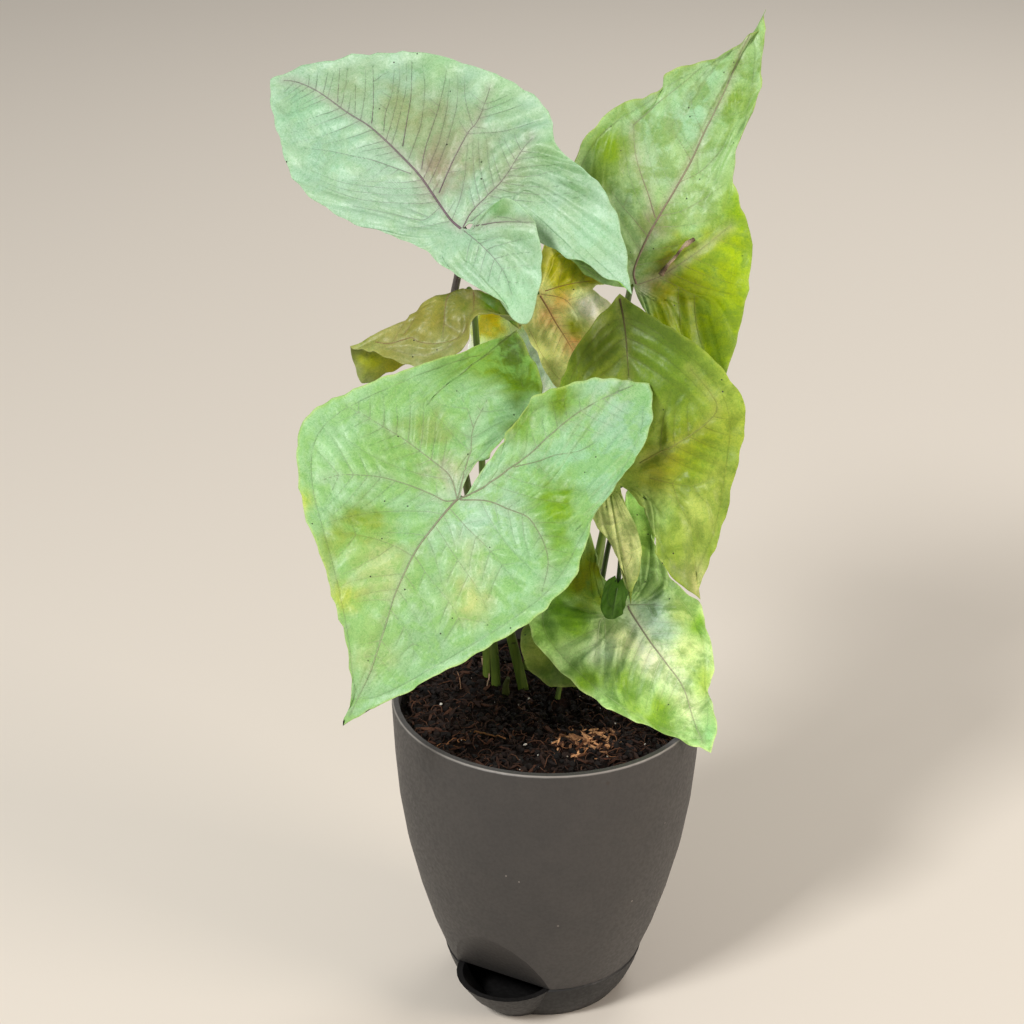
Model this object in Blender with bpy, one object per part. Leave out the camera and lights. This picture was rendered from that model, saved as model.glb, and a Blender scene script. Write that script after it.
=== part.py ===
"""Arrowhead plant (Syngonium) in a tapered self-watering pot with a snap-on reservoir base.

Sizes are in millimetres and are turned into metres where a mesh is made. The origin is the
middle of the base's flat underside, +Z is up and -Y is the side that the plant is seen from.
"""

import math
from collections import namedtuple

import bmesh
import bpy
import numpy as np
from mathutils import Vector, noise

# Scale and clearances
MM = 0.001
GAP = 0.3
ROUND_STEPS = 48

# Pot
RIM_RADIUS = 60.0
RIM_HEIGHT = 129.0
WALL = 2.6
SEAM_HEIGHT = 18.0
POT_OUTSIDE = [(39.5, SEAM_HEIGHT + GAP), (44.6, 32.0), (49.9, 50.0), (54.4, 69.0), (57.3, 88.0),
               (58.9, 107.0), (RIM_RADIUS, RIM_HEIGHT)]
POT_FLOOR = 2.5
SKIRT_RADIUS = 36.0
SKIRT_WALL = 2.4
SKIRT_DROP = 3.7
SKIRT_REACH = 29.0
WICK_RADIUS = 4.0
WICK_TOP = 62.0
DRAIN_RADIUS = 1.6
DRAIN_CIRCLE = 22.0
DRAIN_COUNT = 6

# Flat facet over the pouring lip, and the lip itself
SPOUT_AZIMUTH = math.radians(-117.0)
FACET_REACH = 33.4
FACET_SLOPE = 0.56
SPOUT_RINGS = [(22.4, 12.4, 0.0), (26.6, 16.6, 8.0), (30.0, 20.5, SEAM_HEIGHT)]

# Reservoir base
BASE_OUTSIDE = [(31.2, 0.0), (31.9, 0.7), (35.4, 6.0), (38.0, 12.0), (39.7, SEAM_HEIGHT - 0.6),
                (39.2, SEAM_HEIGHT)]
BASE_WALL = 2.4
BASE_FLOOR = 2.6

# Soil
SOIL_HEIGHT = 121.0
SOIL_RELIEF = 1.5
SOIL_GRAIN = 0.11
SOIL_RINGS = 6

# Leaves and their stalks
BLADE_THICKNESS = 0.8
HUB_RADIUS = 1.6
SEAT_RADIUS = 4.0
NORMAL_PASSES = 6
RAYS_PER_POINT = 2
RAY_ROWS = 4
FULL_LENGTH = 45.0
SETTLE_PASSES = 300
PUFF = 1.6
WAVE = 0.5
WAVE_COUNT = 9
STALK_SIDES = 7
STALK_STEPS = 2
STALK_SEAT = BLADE_THICKNESS / 2 + GAP + 0.05
STALK_ARRIVAL = 6.0
ROOT_DEPTH = 13.0

# A leaf's margin is a list of points in its own plane, seen from above with its tip away from
# the junction: (across, along, lift). It starts at the sinus and runs round the blade back to
# it. tip and ribs number the points where the midrib and the two lobe veins end, and pointed
# numbers the corners. The stalk's route is (x, y, z), from the soil up to the junction.
# A folded blade keeps its fold along the midrib, and any other is stretched evenly to its margin.
Leaf = namedtuple(
    "Leaf", "name junction facing pointing tip ribs pointed margin stalk radii colour folded",
    defaults=(False,))

LEAVES = [
    Leaf("leaf_front", (-32, -34, 229), (0.02, -0.80, 0.60), (-0.43, -0.55, -0.72), 16, (9, 24),
         (9, 16, 24),
         [(0.8, -2.8, 0), (1.2, -8, 0), (0.6, -14, -0.5), (-2, -20, -1.5), (-4, -26, -2.5),
          (-7, -34, -5.5), (-9, -42, -7), (-8.5, -48, -8), (-4.5, -55.5, -10), (10.5, -67, -12),
          (31, -43, -6), (50, -22, -5), (63, -2, -3), (55, 20, 1), (29, 47, 0), (7, 73, -9),
          (2, 90, -16), (-14, 69, -8), (-29, 49, -3), (-44, 25, 1), (-49, 7, 0), (-46, -15, 0),
          (-50, -46, -6), (-46, -65, -10), (-41, -71, -12), (-25, -63, -4), (-13, -52, -1),
          (-6.8, -44, 0.5), (-5.4, -34, 1.5), (-4.4, -26, 1.5), (-3.2, -19, 1), (-2.2, -10.5, 0.5),
          (-1.5, -2.6, 0)],
         [(-9, 15, 121), (-14, 14, 146), (-22, 4, 188), (-28, -13, 215)],
         (2.3, 1.3), (0.25, 0.52, 0.22)),
    Leaf("leaf_upper_left", (-32, -6, 321), (-0.20, -0.72, 0.66), (-0.75, 0.55, 0.38), 12, (4, 20),
         (4, 12),
         [(2.9, -0.6, 0), (7, -8, -2), (13, -22, -4), (17, -38, -8), (20, -59, -14), (33, -46, -6),
          (42, -29, -2), (43, -8, 0), (52, 5, -2), (52, 30, -4), (41, 64, -6), (15, 93, -7),
          (2, 102, -9), (-10, 87, -6), (-23, 63, -4), (-23, 38, -1), (-15, 8, 1), (-15, -9, 1),
          (-13, -25, 0), (-14, -36, -6), (-11, -39, -8), (-1, -38, 0), (13, -28, 8),
          (17, -13, 12), (7, -5, 7), (1.3, -2.8, 1)],
         [(-20, 18, 122), (-22, 20, 146), (-31, 28, 200), (-39, 41, 240), (-38, 42, 270),
          (-35, 28, 291)],
         (1.9, 1.3), (0.38, 0.62, 0.42)),
    Leaf("leaf_upper_right", (30, 42, 283), (0.08, -0.93, 0.36), (0.42, 0.36, 0.83), 11, (3, 16),
         (3, 11, 16),
         [(-1.5, -2.5, 0), (-10, -5, -0.5), (-20, -4, -2), (-30, -1, -5), (-36, 17, -2), (-40, 39, 0),
          (-35, 55, 1), (-22, 70, 0), (-22, 77, -1), (-8, 90, -2), (-1, 101, -5), (1, 115, -10),
          (12, 84, -2), (15, 54, 2), (34, 32, 1), (48, -15, -6), (49, -27, -8), (23, -17, -2), (4, -4, 0)],
         [(14, 27, 122), (20, 36, 170), (26, 50, 230), (28, 55, 264)],
         (1.7, 1.2), (0.42, 0.55, 0.14)),
    Leaf("leaf_middle_right", (26, -4, 221), (-0.02, -0.95, 0.31), (-0.02, 0.31, 0.95), 9, (2, 16),
         (2, 9, 16),
         [(0.5, -3, 0), (8, -24, 2), (3, -44, 5), (-1, -26, 2), (-10, -12, 0.5), (-17, 5, -1),
          (-24, 23, -4), (-20, 43, -3), (-11, 58, -2), (0, 70, -6), (18, 59, 1), (36, 45, 3),
          (46, 26, 2), (42, 4, 0), (38, -15, 0), (32, -33, -3), (29, -43, -6), (23, -38, 0),
          (16, -30, 3), (13, -21, 1), (9, -9, 0.3), (3, -2, 0)],
         [(12, 18, 122), (16, 22, 160), (22, 28, 192), (25, 24, 211), (26, 12, 219)],
         (1.6, 1.2), (0.33, 0.45, 0.09)),
    Leaf("leaf_lower_right", (29, -7, 171), (-0.05, -0.82, 0.57), (0.51, -0.51, -0.69), 10, (2, 18),
         (2, 10, 14),
         [(1, -3, 0), (0, -18, -0.7), (-5, -36, -3), (8, -35, -3), (25, -25, -3), (35, -11, -2),
          (35, -1, -1), (26, 27, -1), (11, 48, -1), (4, 58, -4), (-1, 62, -7), (-8, 55, -3),
          (-12, 42, -2), (-18, 36, -2), (-25, 14, -4), (-21, -1, -1), (-22, -16, -2),
          (-28, -24, -4), (-25, -39, -7), (-16, -27, -3), (-3, -5, 0)],
         [(22, 8, 122), (26, 7, 145)],
         (1.6, 1.2), (0.40, 0.58, 0.22)),
    Leaf("leaf_back_left", (-31, 26, 286), (-0.15, -0.80, 0.58), (-0.89, -0.15, -0.44), 9, (2, 13),
         (2, 9),
         [(-3, -4, 1), (-11, -11, 1), (-22, -11, -4), (-17, -7, 2), (-13, -3, 3), (-13, 2, 3),
          (-20, 12, 2), (-21, 26, 2), (-9, 39, 2), (0, 49, 0), (-3, 51, -8), (-10, 52, -13),
          (-11, 39, -16), (-6, 21, -15), (3, 5, -5)],
         [(-24, 26, 122), (-25, 33, 170), (-27, 38, 230), (-29, 38, 268)],
         (1.6, 1.1), (0.40, 0.42, 0.14), folded=True),
    Leaf("leaf_middle", (-5, 40, 279), (0.10, -0.92, 0.38), (0.40, -0.31, -0.86), 4, (0, 9),
         (4, 9),
         [(4, 0, 0), (10, 7, 0), (9, 21, 0), (8, 35, 0), (0, 49, -4), (-16, 36, -3),
          (-24, 16, -1), (-22, 12, 0), (-20, 5, -3), (-36, 11, -12), (-38, 3, -14), (-25, -10, -9),
          (-12, -16, -6), (-3, -10, -2)],
         [(4, 29, 122), (8, 40, 170), (12, 50, 220), (8, 54, 256)],
         (1.6, 1.1), (0.48, 0.46, 0.18)),
    Leaf("leaf_inner", (-7, 52, 229), (-0.10, -0.87, 0.48), (-0.31, 0.49, 0.82), 5, (0, 10),
         (5,),
         [(2, -4, 0), (9, -2, 0), (12, 4, 0), (12, 20, 0), (8, 37, 0), (0, 45, -6),
          (-12, 39, 0), (-17, 29, 1), (-16, 16, 0), (-9, 3, 0), (-4, -2, 0)],
         [(-8, 31, 122), (-7, 46, 175), (-6, 60, 210)],
         (1.6, 1.1), (0.50, 0.52, 0.22)),
    Leaf("leaf_low", (7, 4, 146), (-0.15, -0.75, 0.65), (-0.30, -0.59, -0.75), 5, (0, 9),
         (5,),
         [(3, -4, 0), (11, -9, -2), (19, -5, -3), (18, 2, -1), (11, 11, -1), (1, 14, -3),
          (-10, 11, -2), (-13, 4, -3), (-9, -5, -3), (-3, -7, -1)],
         [(4, 6, 121), (6, 9, 133)],
         (1.1, 0.9), (0.40, 0.48, 0.12)),
]

YOUNG_BLADE = Leaf(
    "leaf_young", (26, -10, 183), (-0.10, -0.84, 0.54), (-0.16, -0.52, -0.84), 4, (), (),
    [(1.5, -3, 0), (4.5, 0, 0), (5, 6, -2), (4, 11, -3), (0, 13, -3), (-3, 10, -3), (-4, 6, -2),
     (-4, 0, 0), (-1.5, -3, 0)],
    [(16, 14, 122), (19, 16, 155), (23, 14, 188), (25.5, 4, 197.5), (26.9, -3.2, 191.5),
     (26.15, -8.7, 182.2)],
    (1.1, 0.9), (0.05, 0.20, 0.04))

# Shoot that is just breaking through the soil: its route and its two end radii
SHOOT_ROUTE = [(-16, 11, 122), (-16, 10, 127), (-15, 9, 131)]
SHOOT_RADII = (2.2, 0.8)


def clear_scene():
    for item in list(bpy.data.objects):
        bpy.data.objects.remove(item, do_unlink=True)


def material(name, colour, roughness, metallic=0.0):
    made = bpy.data.materials.new(name)
    made.use_nodes = True
    shader = made.node_tree.nodes["Principled BSDF"]
    shader.inputs["Base Color"].default_value = (*colour, 1.0)
    shader.inputs["Roughness"].default_value = roughness
    shader.inputs["Metallic"].default_value = metallic
    return made


def new_object(name, vertices, faces, look):
    """A smooth-shaded mesh object from vertices in millimetres."""
    mesh = bpy.data.meshes.new(name)
    mesh.from_pydata([tuple(float(v) * MM for v in vertex) for vertex in vertices], [], faces)
    bm = bmesh.new()
    bm.from_mesh(mesh)
    bmesh.ops.recalc_face_normals(bm, faces=bm.faces)
    bm.to_mesh(mesh)
    bm.free()
    mesh.shade_smooth()
    mesh.set_sharp_from_angle(angle=math.radians(40))
    made = bpy.data.objects.new(name, mesh)
    bpy.context.scene.collection.objects.link(made)
    if look is not None:
        mesh.materials.append(look)
    return made


def as_cutter(item):
    item.hide_render = True
    item.display_type = "WIRE"
    return item


def boolean(item, other, operation, solver="EXACT"):
    """Joins or cuts item with other, applies it, and removes other."""
    modifier = item.modifiers.new(other.name, "BOOLEAN")
    modifier.operation = operation
    modifier.solver = solver
    modifier.object = other
    graph = bpy.context.evaluated_depsgraph_get()
    result = bpy.data.meshes.new_from_object(item.evaluated_get(graph))
    item.modifiers.clear()
    item.data = result
    bpy.data.objects.remove(other, do_unlink=True)


def turned(name, profile, look, steps=ROUND_STEPS):
    """A closed turned solid from (radius, height) points that start and end on the axis."""
    rings = [point for point in profile if point[0] > 0]
    low, high = profile[0][1], profile[-1][1]
    vertices = [(0, 0, low)]
    for radius, height in rings:
        for step in range(steps):
            angle = 2 * math.pi * step / steps
            vertices.append((radius * math.cos(angle), radius * math.sin(angle), height))
    vertices.append((0, 0, high))
    last = len(vertices) - 1
    faces = []
    for step in range(steps):
        after = (step + 1) % steps
        faces.append((0, 1 + after, 1 + step))
        top = 1 + (len(rings) - 1) * steps
        faces.append((top + step, top + after, last))
        for ring in range(len(rings) - 1):
            start = 1 + ring * steps
            faces.append((start + step, start + after, start + steps + after, start + steps + step))
    return new_object(name, vertices, faces, look)


def disc_cutter(radius, low, high, x=0.0, y=0.0, steps=24):
    cutter = turned("cutter", [(0, low), (radius, low), (radius, high), (0, high)], None, steps)
    cutter.location = (x * MM, y * MM, 0)
    bpy.context.view_layer.update()
    return as_cutter(cutter)


def spout_direction():
    return Vector((math.cos(SPOUT_AZIMUTH), math.sin(SPOUT_AZIMUTH), 0))


def cut_facet(item, inset):
    """Cuts the sloping flat over the lip, set in by inset from the outside face."""
    normal = (spout_direction() - Vector((0, 0, FACET_SLOPE))).normalized()
    point = spout_direction() * FACET_REACH + Vector((0, 0, SEAM_HEIGHT)) - normal * inset
    cut_flat(item, point, normal)


def cut_flat(item, point, normal):
    """Removes what lies beyond a plane, and closes the cut."""
    bm = bmesh.new()
    bm.from_mesh(item.data)
    everything = bm.verts[:] + bm.edges[:] + bm.faces[:]
    cut = bmesh.ops.bisect_plane(
        bm, geom=everything, plane_co=point * MM, plane_no=normal, clear_outer=True)
    rim = [edge for edge in cut["geom_cut"] if isinstance(edge, bmesh.types.BMEdge)]
    bmesh.ops.triangle_fill(bm, use_beauty=True, edges=rim)
    bmesh.ops.recalc_face_normals(bm, faces=bm.faces)
    bm.to_mesh(item.data)
    bm.free()


def radius_inside(height):
    """The pot wall's inner radius at a height."""
    heights = [point[1] for point in POT_OUTSIDE]
    radii = [point[0] for point in POT_OUTSIDE]
    return float(np.interp(height, heights, radii)) - WALL


def inside_profile(floor, top, shrink):
    """Profile of the pot's inside from floor to top, smaller all round by shrink."""
    heights = [floor] + [h for _, h in POT_OUTSIDE if floor + 3 < h < top - 3] + [top]
    return [(0, floor)] + [(radius_inside(h) - shrink, h) for h in heights] + [(0, top)]


def skirt(floor_under):
    """Ring below the pot's floor that centres it in the base, left out over the lip."""
    low, high = floor_under - SKIRT_DROP, floor_under + POT_FLOOR / 2
    ring = turned("skirt", [(0, low), (SKIRT_RADIUS, low), (SKIRT_RADIUS, high), (0, high)], None)
    hollow = disc_cutter(SKIRT_RADIUS - SKIRT_WALL, 0, RIM_HEIGHT, steps=ROUND_STEPS)
    boolean(ring, hollow, "DIFFERENCE")
    cut_flat(ring, spout_direction() * SKIRT_REACH, spout_direction())
    return as_cutter(ring)


def build_pot():
    """The tapered pot: flat facet, skirt, hollow inside, wick hole and drain holes."""
    look = material("pot_plastic", (0.062, 0.058, 0.055), 0.62)
    floor_under = SEAM_HEIGHT + GAP
    outside = [(0, floor_under)] + POT_OUTSIDE[:-1]
    outside += [(RIM_RADIUS, RIM_HEIGHT - 0.7), (RIM_RADIUS - 0.5, RIM_HEIGHT)]
    pot = turned("pot", outside + [(0, RIM_HEIGHT)], look)
    cut_facet(pot, 0)
    boolean(pot, skirt(floor_under), "UNION", "MANIFOLD")
    above = RIM_HEIGHT + 5
    inside = turned("inside", inside_profile(floor_under + POT_FLOOR, above, 0), None)
    cut_facet(inside, WALL)
    boolean(pot, as_cutter(inside), "DIFFERENCE", "MANIFOLD")
    wick_hole = disc_cutter(WICK_RADIUS + GAP, 0, floor_under + 2 * POT_FLOOR)
    boolean(pot, wick_hole, "DIFFERENCE", "MANIFOLD")
    for number in range(DRAIN_COUNT):
        angle = 2 * math.pi * (number + 0.5) / DRAIN_COUNT
        x, y = DRAIN_CIRCLE * math.cos(angle), DRAIN_CIRCLE * math.sin(angle)
        hole = disc_cutter(DRAIN_RADIUS, 0, floor_under + 2 * POT_FLOOR, x, y, 10)
        boolean(pot, hole, "DIFFERENCE", "MANIFOLD")


def spout_solid(name, shrink, floor, top):
    """The pouring lip as a solid: rings whose centres move outwards as they rise."""
    steps = 32
    reaches, radii, heights = zip(*SPOUT_RINGS)
    levels = [floor] + [h for h in heights if floor + 1 < h < top - 1] + [top]
    profile = []
    for level in levels:
        clipped = min(level, heights[-1])
        radius = float(np.interp(clipped, heights, radii)) - shrink
        profile.append((float(np.interp(clipped, heights, reaches)), radius, level))
    direction = spout_direction()
    vertices = []
    for reach, radius, level in profile:
        for step in range(steps):
            angle = 2 * math.pi * step / steps
            vertices.append((direction.x * reach + radius * math.cos(angle),
                             direction.y * reach + radius * math.sin(angle), level))
    faces = [tuple(range(steps)), tuple(range(len(vertices) - steps, len(vertices)))]
    for ring in range(len(profile) - 1):
        for step in range(steps):
            start, after = ring * steps, (step + 1) % steps
            faces.append((start + step, start + after, start + steps + after, start + steps + step))
    return as_cutter(new_object(name, vertices, faces, None))


def build_base():
    """The shallow water base with its pouring lip, open at the top."""
    look = material("base_plastic", (0.040, 0.039, 0.040), 0.55)
    base = turned("reservoir_base", [(0, 0)] + BASE_OUTSIDE + [(0, SEAM_HEIGHT)], look)
    boolean(base, spout_solid("lip_outside", 0, 0, SEAM_HEIGHT), "UNION")
    heights = [height for _, height in BASE_OUTSIDE]
    radii = [radius for radius, _ in BASE_OUTSIDE]
    widest = BASE_OUTSIDE[-2][1]
    above = SEAM_HEIGHT + 3
    inside = [(0, BASE_FLOOR)]
    for height in (BASE_FLOOR, 6.0, 12.0, widest, above):
        radius = float(np.interp(min(height, widest), heights, radii)) - BASE_WALL
        inside.append((radius, height))
    inside.append((0, above))
    cavity = turned("cavity", inside, None)
    boolean(cavity, spout_solid("lip_inside", BASE_WALL, BASE_FLOOR, above), "UNION")
    boolean(base, as_cutter(cavity), "DIFFERENCE")


def build_wick():
    look = material("wick_cotton", (0.70, 0.66, 0.56), 0.9)
    low = BASE_FLOOR + GAP
    profile = [(0, low), (WICK_RADIUS, low), (WICK_RADIUS, WICK_TOP), (0, WICK_TOP)]
    turned("wick", profile, look, 16)


def soil_surface(x, y):
    """Height of the loose soil at a place, raised in clumps and a little heaped in the middle."""
    clumps = noise.noise(Vector((x * SOIL_GRAIN, y * SOIL_GRAIN, 0.3)))
    heap = 1 - (math.hypot(x, y) / RIM_RADIUS) ** 2
    return SOIL_HEIGHT + SOIL_RELIEF * (clumps + heap - 0.5)


def build_soil(routes):
    """The soil that fills the pot, bored for the wick and for each stalk's route and radius."""
    look = material("soil_mix", (0.035, 0.018, 0.010), 0.95)
    floor = SEAM_HEIGHT + GAP + POT_FLOOR + GAP
    edge = radius_inside(SOIL_HEIGHT) - GAP
    below = inside_profile(floor, SOIL_HEIGHT - 6, GAP)[:-1]
    soil = turned("soil", below + [(edge, SOIL_HEIGHT)] + [
        (edge * ring / SOIL_RINGS, SOIL_HEIGHT) for ring in range(SOIL_RINGS - 1, 0, -1)
    ] + [(0, SOIL_HEIGHT)], look)
    for vertex in soil.data.vertices:
        if vertex.co.z > (SOIL_HEIGHT - 1) * MM:
            vertex.co.z = soil_surface(vertex.co.x / MM, vertex.co.y / MM) * MM
    cut_facet(soil, WALL + GAP)
    boolean(soil, disc_cutter(WICK_RADIUS + GAP, 0, WICK_TOP + GAP, steps=16), "DIFFERENCE")
    for route, radius in routes:
        below_root = route[0] - (route[1] - route[0]).normalized() * GAP
        hole = tube("hole", [below_root] + route, (radius + GAP, radius + GAP), None)
        boolean(soil, as_cutter(hole), "DIFFERENCE")


def smooth_route(points, steps):
    """A smooth curve through points, steps for each stretch."""
    points = [Vector(point) for point in points]
    ends = [points[0] * 2 - points[1]] + points + [points[-1] * 2 - points[-2]]
    route = []
    for before, start, end, after in zip(ends, ends[1:], ends[2:], ends[3:]):
        for step in range(steps):
            t = step / steps
            route.append(0.5 * (2 * start + (end - before) * t
                                + (2 * before - 5 * start + 4 * end - after) * t ** 2
                                + (3 * start - before - 3 * end + after) * t ** 3))
    return route + [points[-1]]


def tube(name, route, radii, look, sides=STALK_SIDES):
    """A round tube along a route whose radius goes evenly from radii[0] to radii[1]."""
    side = Vector((1, 0, 0))
    vertices = []
    for number, point in enumerate(route):
        last = number + 1 == len(route)
        ahead = (point - route[-2]) if last else (route[number + 1] - route[max(number - 1, 0)])
        ahead.normalize()
        side = (side - ahead * side.dot(ahead)).normalized()
        other = ahead.cross(side)
        part = number / (len(route) - 1)
        radius = radii[0] + (radii[1] - radii[0]) * part
        for step in range(sides):
            angle = 2 * math.pi * step / sides
            vertices.append(point + radius * (side * math.cos(angle) + other * math.sin(angle)))
    faces = [tuple(range(sides)), tuple(range(len(vertices) - sides, len(vertices)))]
    for ring in range(len(route) - 1):
        for step in range(sides):
            start, after = ring * sides, (step + 1) % sides
            faces.append((start + step, start + after, start + sides + after, start + sides + step))
    return new_object(name, vertices, faces, look)


def leaf_axes(leaf):
    """The leaf's own directions: across, along and up out of its upper face."""
    facing = Vector(leaf.facing).normalized()
    along = Vector(leaf.pointing)
    along = (along - facing * along.dot(facing)).normalized()
    return along.cross(facing), along, facing


def unit(vector):
    return vector / np.linalg.norm(vector)


def leaf_margin(leaf, rays_per_point):
    """The margin as a smooth line through its points, with corners kept at the pointed ones."""
    points = np.array(leaf.margin, float)
    last = len(points) - 1
    corners = {0, last, *leaf.pointed}
    line = []
    for number in range(last):
        start, end = points[number], points[number + 1]
        chord = end - start
        length = np.linalg.norm(chord)
        leaving, arriving = chord, chord
        if number not in corners:
            leaving = unit(end - points[number - 1]) * length
        if number + 1 not in corners:
            arriving = unit(points[number + 2] - start) * length
        for step in range(rays_per_point):
            t = step / rays_per_point
            line.append(start + chord * (3 * t ** 2 - 2 * t ** 3)
                        + leaving * (t - 2 * t ** 2 + t ** 3) + arriving * (t ** 3 - t ** 2))
    return np.array(line + [points[last]])


def between_ribs(leaf, places):
    """0 on the midrib and on the lobe veins, and 1 half way between them."""
    stops = sorted({leaf.tip, *leaf.ribs})
    result = np.zeros(len(places))
    for start, end in zip(stops, stops[1:]):
        inside = (places >= start) & (places <= end)
        result[inside] = np.sin(math.pi * (places[inside] - start) / (end - start))
    return result


def hub_angles(leaf, margin, places):
    """Where round the junction each ray of the blade starts: 0 at the tip, and even to each end."""
    bearing = np.unwrap(np.arctan2(margin[:, 0], margin[:, 1]))
    tip = int(np.argmin(abs(places - leaf.tip)))
    bearing -= 2 * math.pi * round(bearing[tip] / (2 * math.pi))
    return np.interp(places, [0, leaf.tip, places[-1]], [bearing[0], 0, bearing[-1]])


def settled(grid, midrib):
    """Evens out a grid inside its edge and midrib so that none of its lines cross.

    Each point moves to where the elliptic grid equation puts it among its eight neighbours.
    """
    free = np.ones(grid.shape[1] - 2, bool)
    free[midrib - 1] = False
    for _ in range(SETTLE_PASSES):
        inner = grid[1:-1, 1:-1]
        out = (grid[2:, 1:-1] - grid[:-2, 1:-1])[..., :2]
        over = (grid[1:-1, 2:] - grid[1:-1, :-2])[..., :2]
        out_size = (out ** 2).sum(-1, keepdims=True)
        over_size = (over ** 2).sum(-1, keepdims=True)
        slant = (out * over).sum(-1, keepdims=True)
        corners = grid[2:, 2:] - grid[2:, :-2] - grid[:-2, 2:] + grid[:-2, :-2]
        target = out_size * (grid[1:-1, 2:] + grid[1:-1, :-2])
        target += over_size * (grid[2:, 1:-1] + grid[:-2, 1:-1]) - slant * corners / 2
        target /= 2 * (out_size + over_size)
        inner[:, free] += (target - inner)[:, free] / 2
    return grid


def leaf_sheet(leaf, rays_per_point, rows):
    """Points of the blade's middle surface: a row round the hub, then rows out to the margin."""
    margin = leaf_margin(leaf, rays_per_point)
    places = np.arange(len(margin)) / rays_per_point
    angle = hub_angles(leaf, margin, places)
    start = np.stack([np.sin(angle), np.cos(angle), 0 * angle], -1)
    length = np.linalg.norm(margin[:, :2], axis=1)
    out = (np.arange(rows + 1) / rows)[:, None, None]
    bend = start * length[:, None] / 2
    grid = (1 - out) ** 2 * HUB_RADIUS * start + 2 * out * (1 - out) * bend + out ** 2 * margin
    if not leaf.folded:
        grid = settled(grid, leaf.tip * rays_per_point)
    size = np.minimum(1, length / FULL_LENGTH)
    out = out[..., 0]
    grid[..., 2] += PUFF * size * between_ribs(leaf, places) * 4 * out ** 2 * (1 - out)
    grid[..., 2] += WAVE * size * np.sin(2 * math.pi * WAVE_COUNT * places / places[-1]) * out ** 3
    return np.array(leaf.junction, float) + grid @ np.array(leaf_axes(leaf))


def sheet_normals(sheet, junction, facing, passes):
    """Directions out of the upper face at each point of a sheet, from the quads round it.

    Close to the junction, where the blade sits on its stalk, they all turn to face one way.
    """
    quads = np.cross(sheet[1:, 1:] - sheet[:-1, :-1], sheet[:-1, 1:] - sheet[1:, :-1])
    normals = np.zeros_like(sheet)
    for down in (slice(None, -1), slice(1, None)):
        for over in (slice(None, -1), slice(1, None)):
            normals[down, over] += quads
    if (normals @ facing).sum() < 0:
        normals = -normals
    normals /= np.linalg.norm(normals, axis=-1, keepdims=True)
    free = np.linalg.norm(sheet - junction, axis=-1, keepdims=True) / SEAT_RADIUS - 1
    free = np.clip(free, 0, 1)
    for _ in range(passes):
        padded = np.pad(normals, ((1, 1), (1, 1), (0, 0)), "edge")
        normals = padded[2:, 1:-1] + padded[:-2, 1:-1] + padded[1:-1, 2:] + padded[1:-1, :-2]
        normals = free * normals / 4 + (1 - free) * facing
        normals /= np.linalg.norm(normals, axis=-1, keepdims=True)
    return normals


def leaf_solid(leaf, look, rays_per_point=RAYS_PER_POINT, rows=RAY_ROWS):
    """The blade: the sheet thickened evenly, split into triangles alike on both faces."""
    sheet = leaf_sheet(leaf, rays_per_point, rows)
    facing = np.array(leaf_axes(leaf)[2])
    junction = np.array(leaf.junction, float)
    normals = sheet_normals(sheet, junction, facing, 0 if leaf.folded else NORMAL_PASSES)
    half = BLADE_THICKNESS / 2
    rings, rays = sheet.shape[:2]
    upper = [junction + half * facing] + list((sheet + half * normals).reshape(-1, 3))
    lower = [junction - half * facing] + list((sheet - half * normals).reshape(-1, 3))
    count = len(upper)
    faces = []

    def at(ring, ray):
        return 1 + ring * rays + ray

    def both_faces(a, b, c):
        faces.append((a, b, c))
        faces.append((a + count, c + count, b + count))

    def edge_strip(line):
        for start, end in zip(line, line[1:]):
            faces.append((start, end, start + count))
            faces.append((end, end + count, start + count))

    def seen(a, b, c, towards):
        """The area of a triangle of the upper face, looked at along a direction."""
        return abs(np.dot(np.cross(upper[b] - upper[a], upper[c] - upper[a]), towards))

    for ray in range(rays - 1):
        both_faces(0, at(0, ray), at(0, ray + 1))
        for ring in range(rings - 1):
            near, far = at(ring, ray), at(ring + 1, ray)
            far_after, near_after = far + 1, near + 1
            towards = normals[ring: ring + 2, ray: ray + 2].sum((0, 1))
            one = seen(near, far, far_after, towards) + seen(near, far_after, near_after, towards)
            other = seen(near, far, near_after, towards) + seen(far, far_after, near_after, towards)
            if one <= other:
                both_faces(near, far, far_after)
                both_faces(near, far_after, near_after)
            else:
                both_faces(near, far, near_after)
                both_faces(far, far_after, near_after)
    outline = [0] + [at(ring, 0) for ring in range(rings)]
    outline += [at(rings - 1, ray) for ray in range(1, rays)]
    outline += [at(ring, rays - 1) for ring in range(rings - 2, -1, -1)] + [0]
    edge_strip(outline)
    return new_object(leaf.name + "_blade", upper + lower, faces, look)


def stalk_route(leaf, seated):
    """From inside the soil up to the junction, ending square to the blade if it is seated."""
    first = leaf.stalk[0]
    points = [(first[0], first[1], first[2] - ROOT_DEPTH)] + list(leaf.stalk)
    if not seated:
        return smooth_route(points, STALK_STEPS)
    facing = leaf_axes(leaf)[2]
    points.append(Vector(leaf.junction) - facing * STALK_ARRIVAL)
    return smooth_route(points, STALK_STEPS) + [Vector(leaf.junction) - facing * STALK_SEAT]


def build_leaves():
    """Every blade and stalk. Returns what the soil has to be bored for."""
    holes = []
    for leaf in LEAVES + [YOUNG_BLADE]:
        seated = leaf is not YOUNG_BLADE
        look = material(leaf.name, leaf.colour, 0.45)
        leaf_solid(leaf, look)
        green = tuple(0.55 * value for value in leaf.colour)
        stalk_look = material(leaf.name + "_stalk", green, 0.5)
        route = stalk_route(leaf, seated)
        tube(leaf.name + "_stalk", route, leaf.radii, stalk_look)
        holes.append((route[: 2 * STALK_STEPS + 1], leaf.radii[0]))
    return holes


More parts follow.
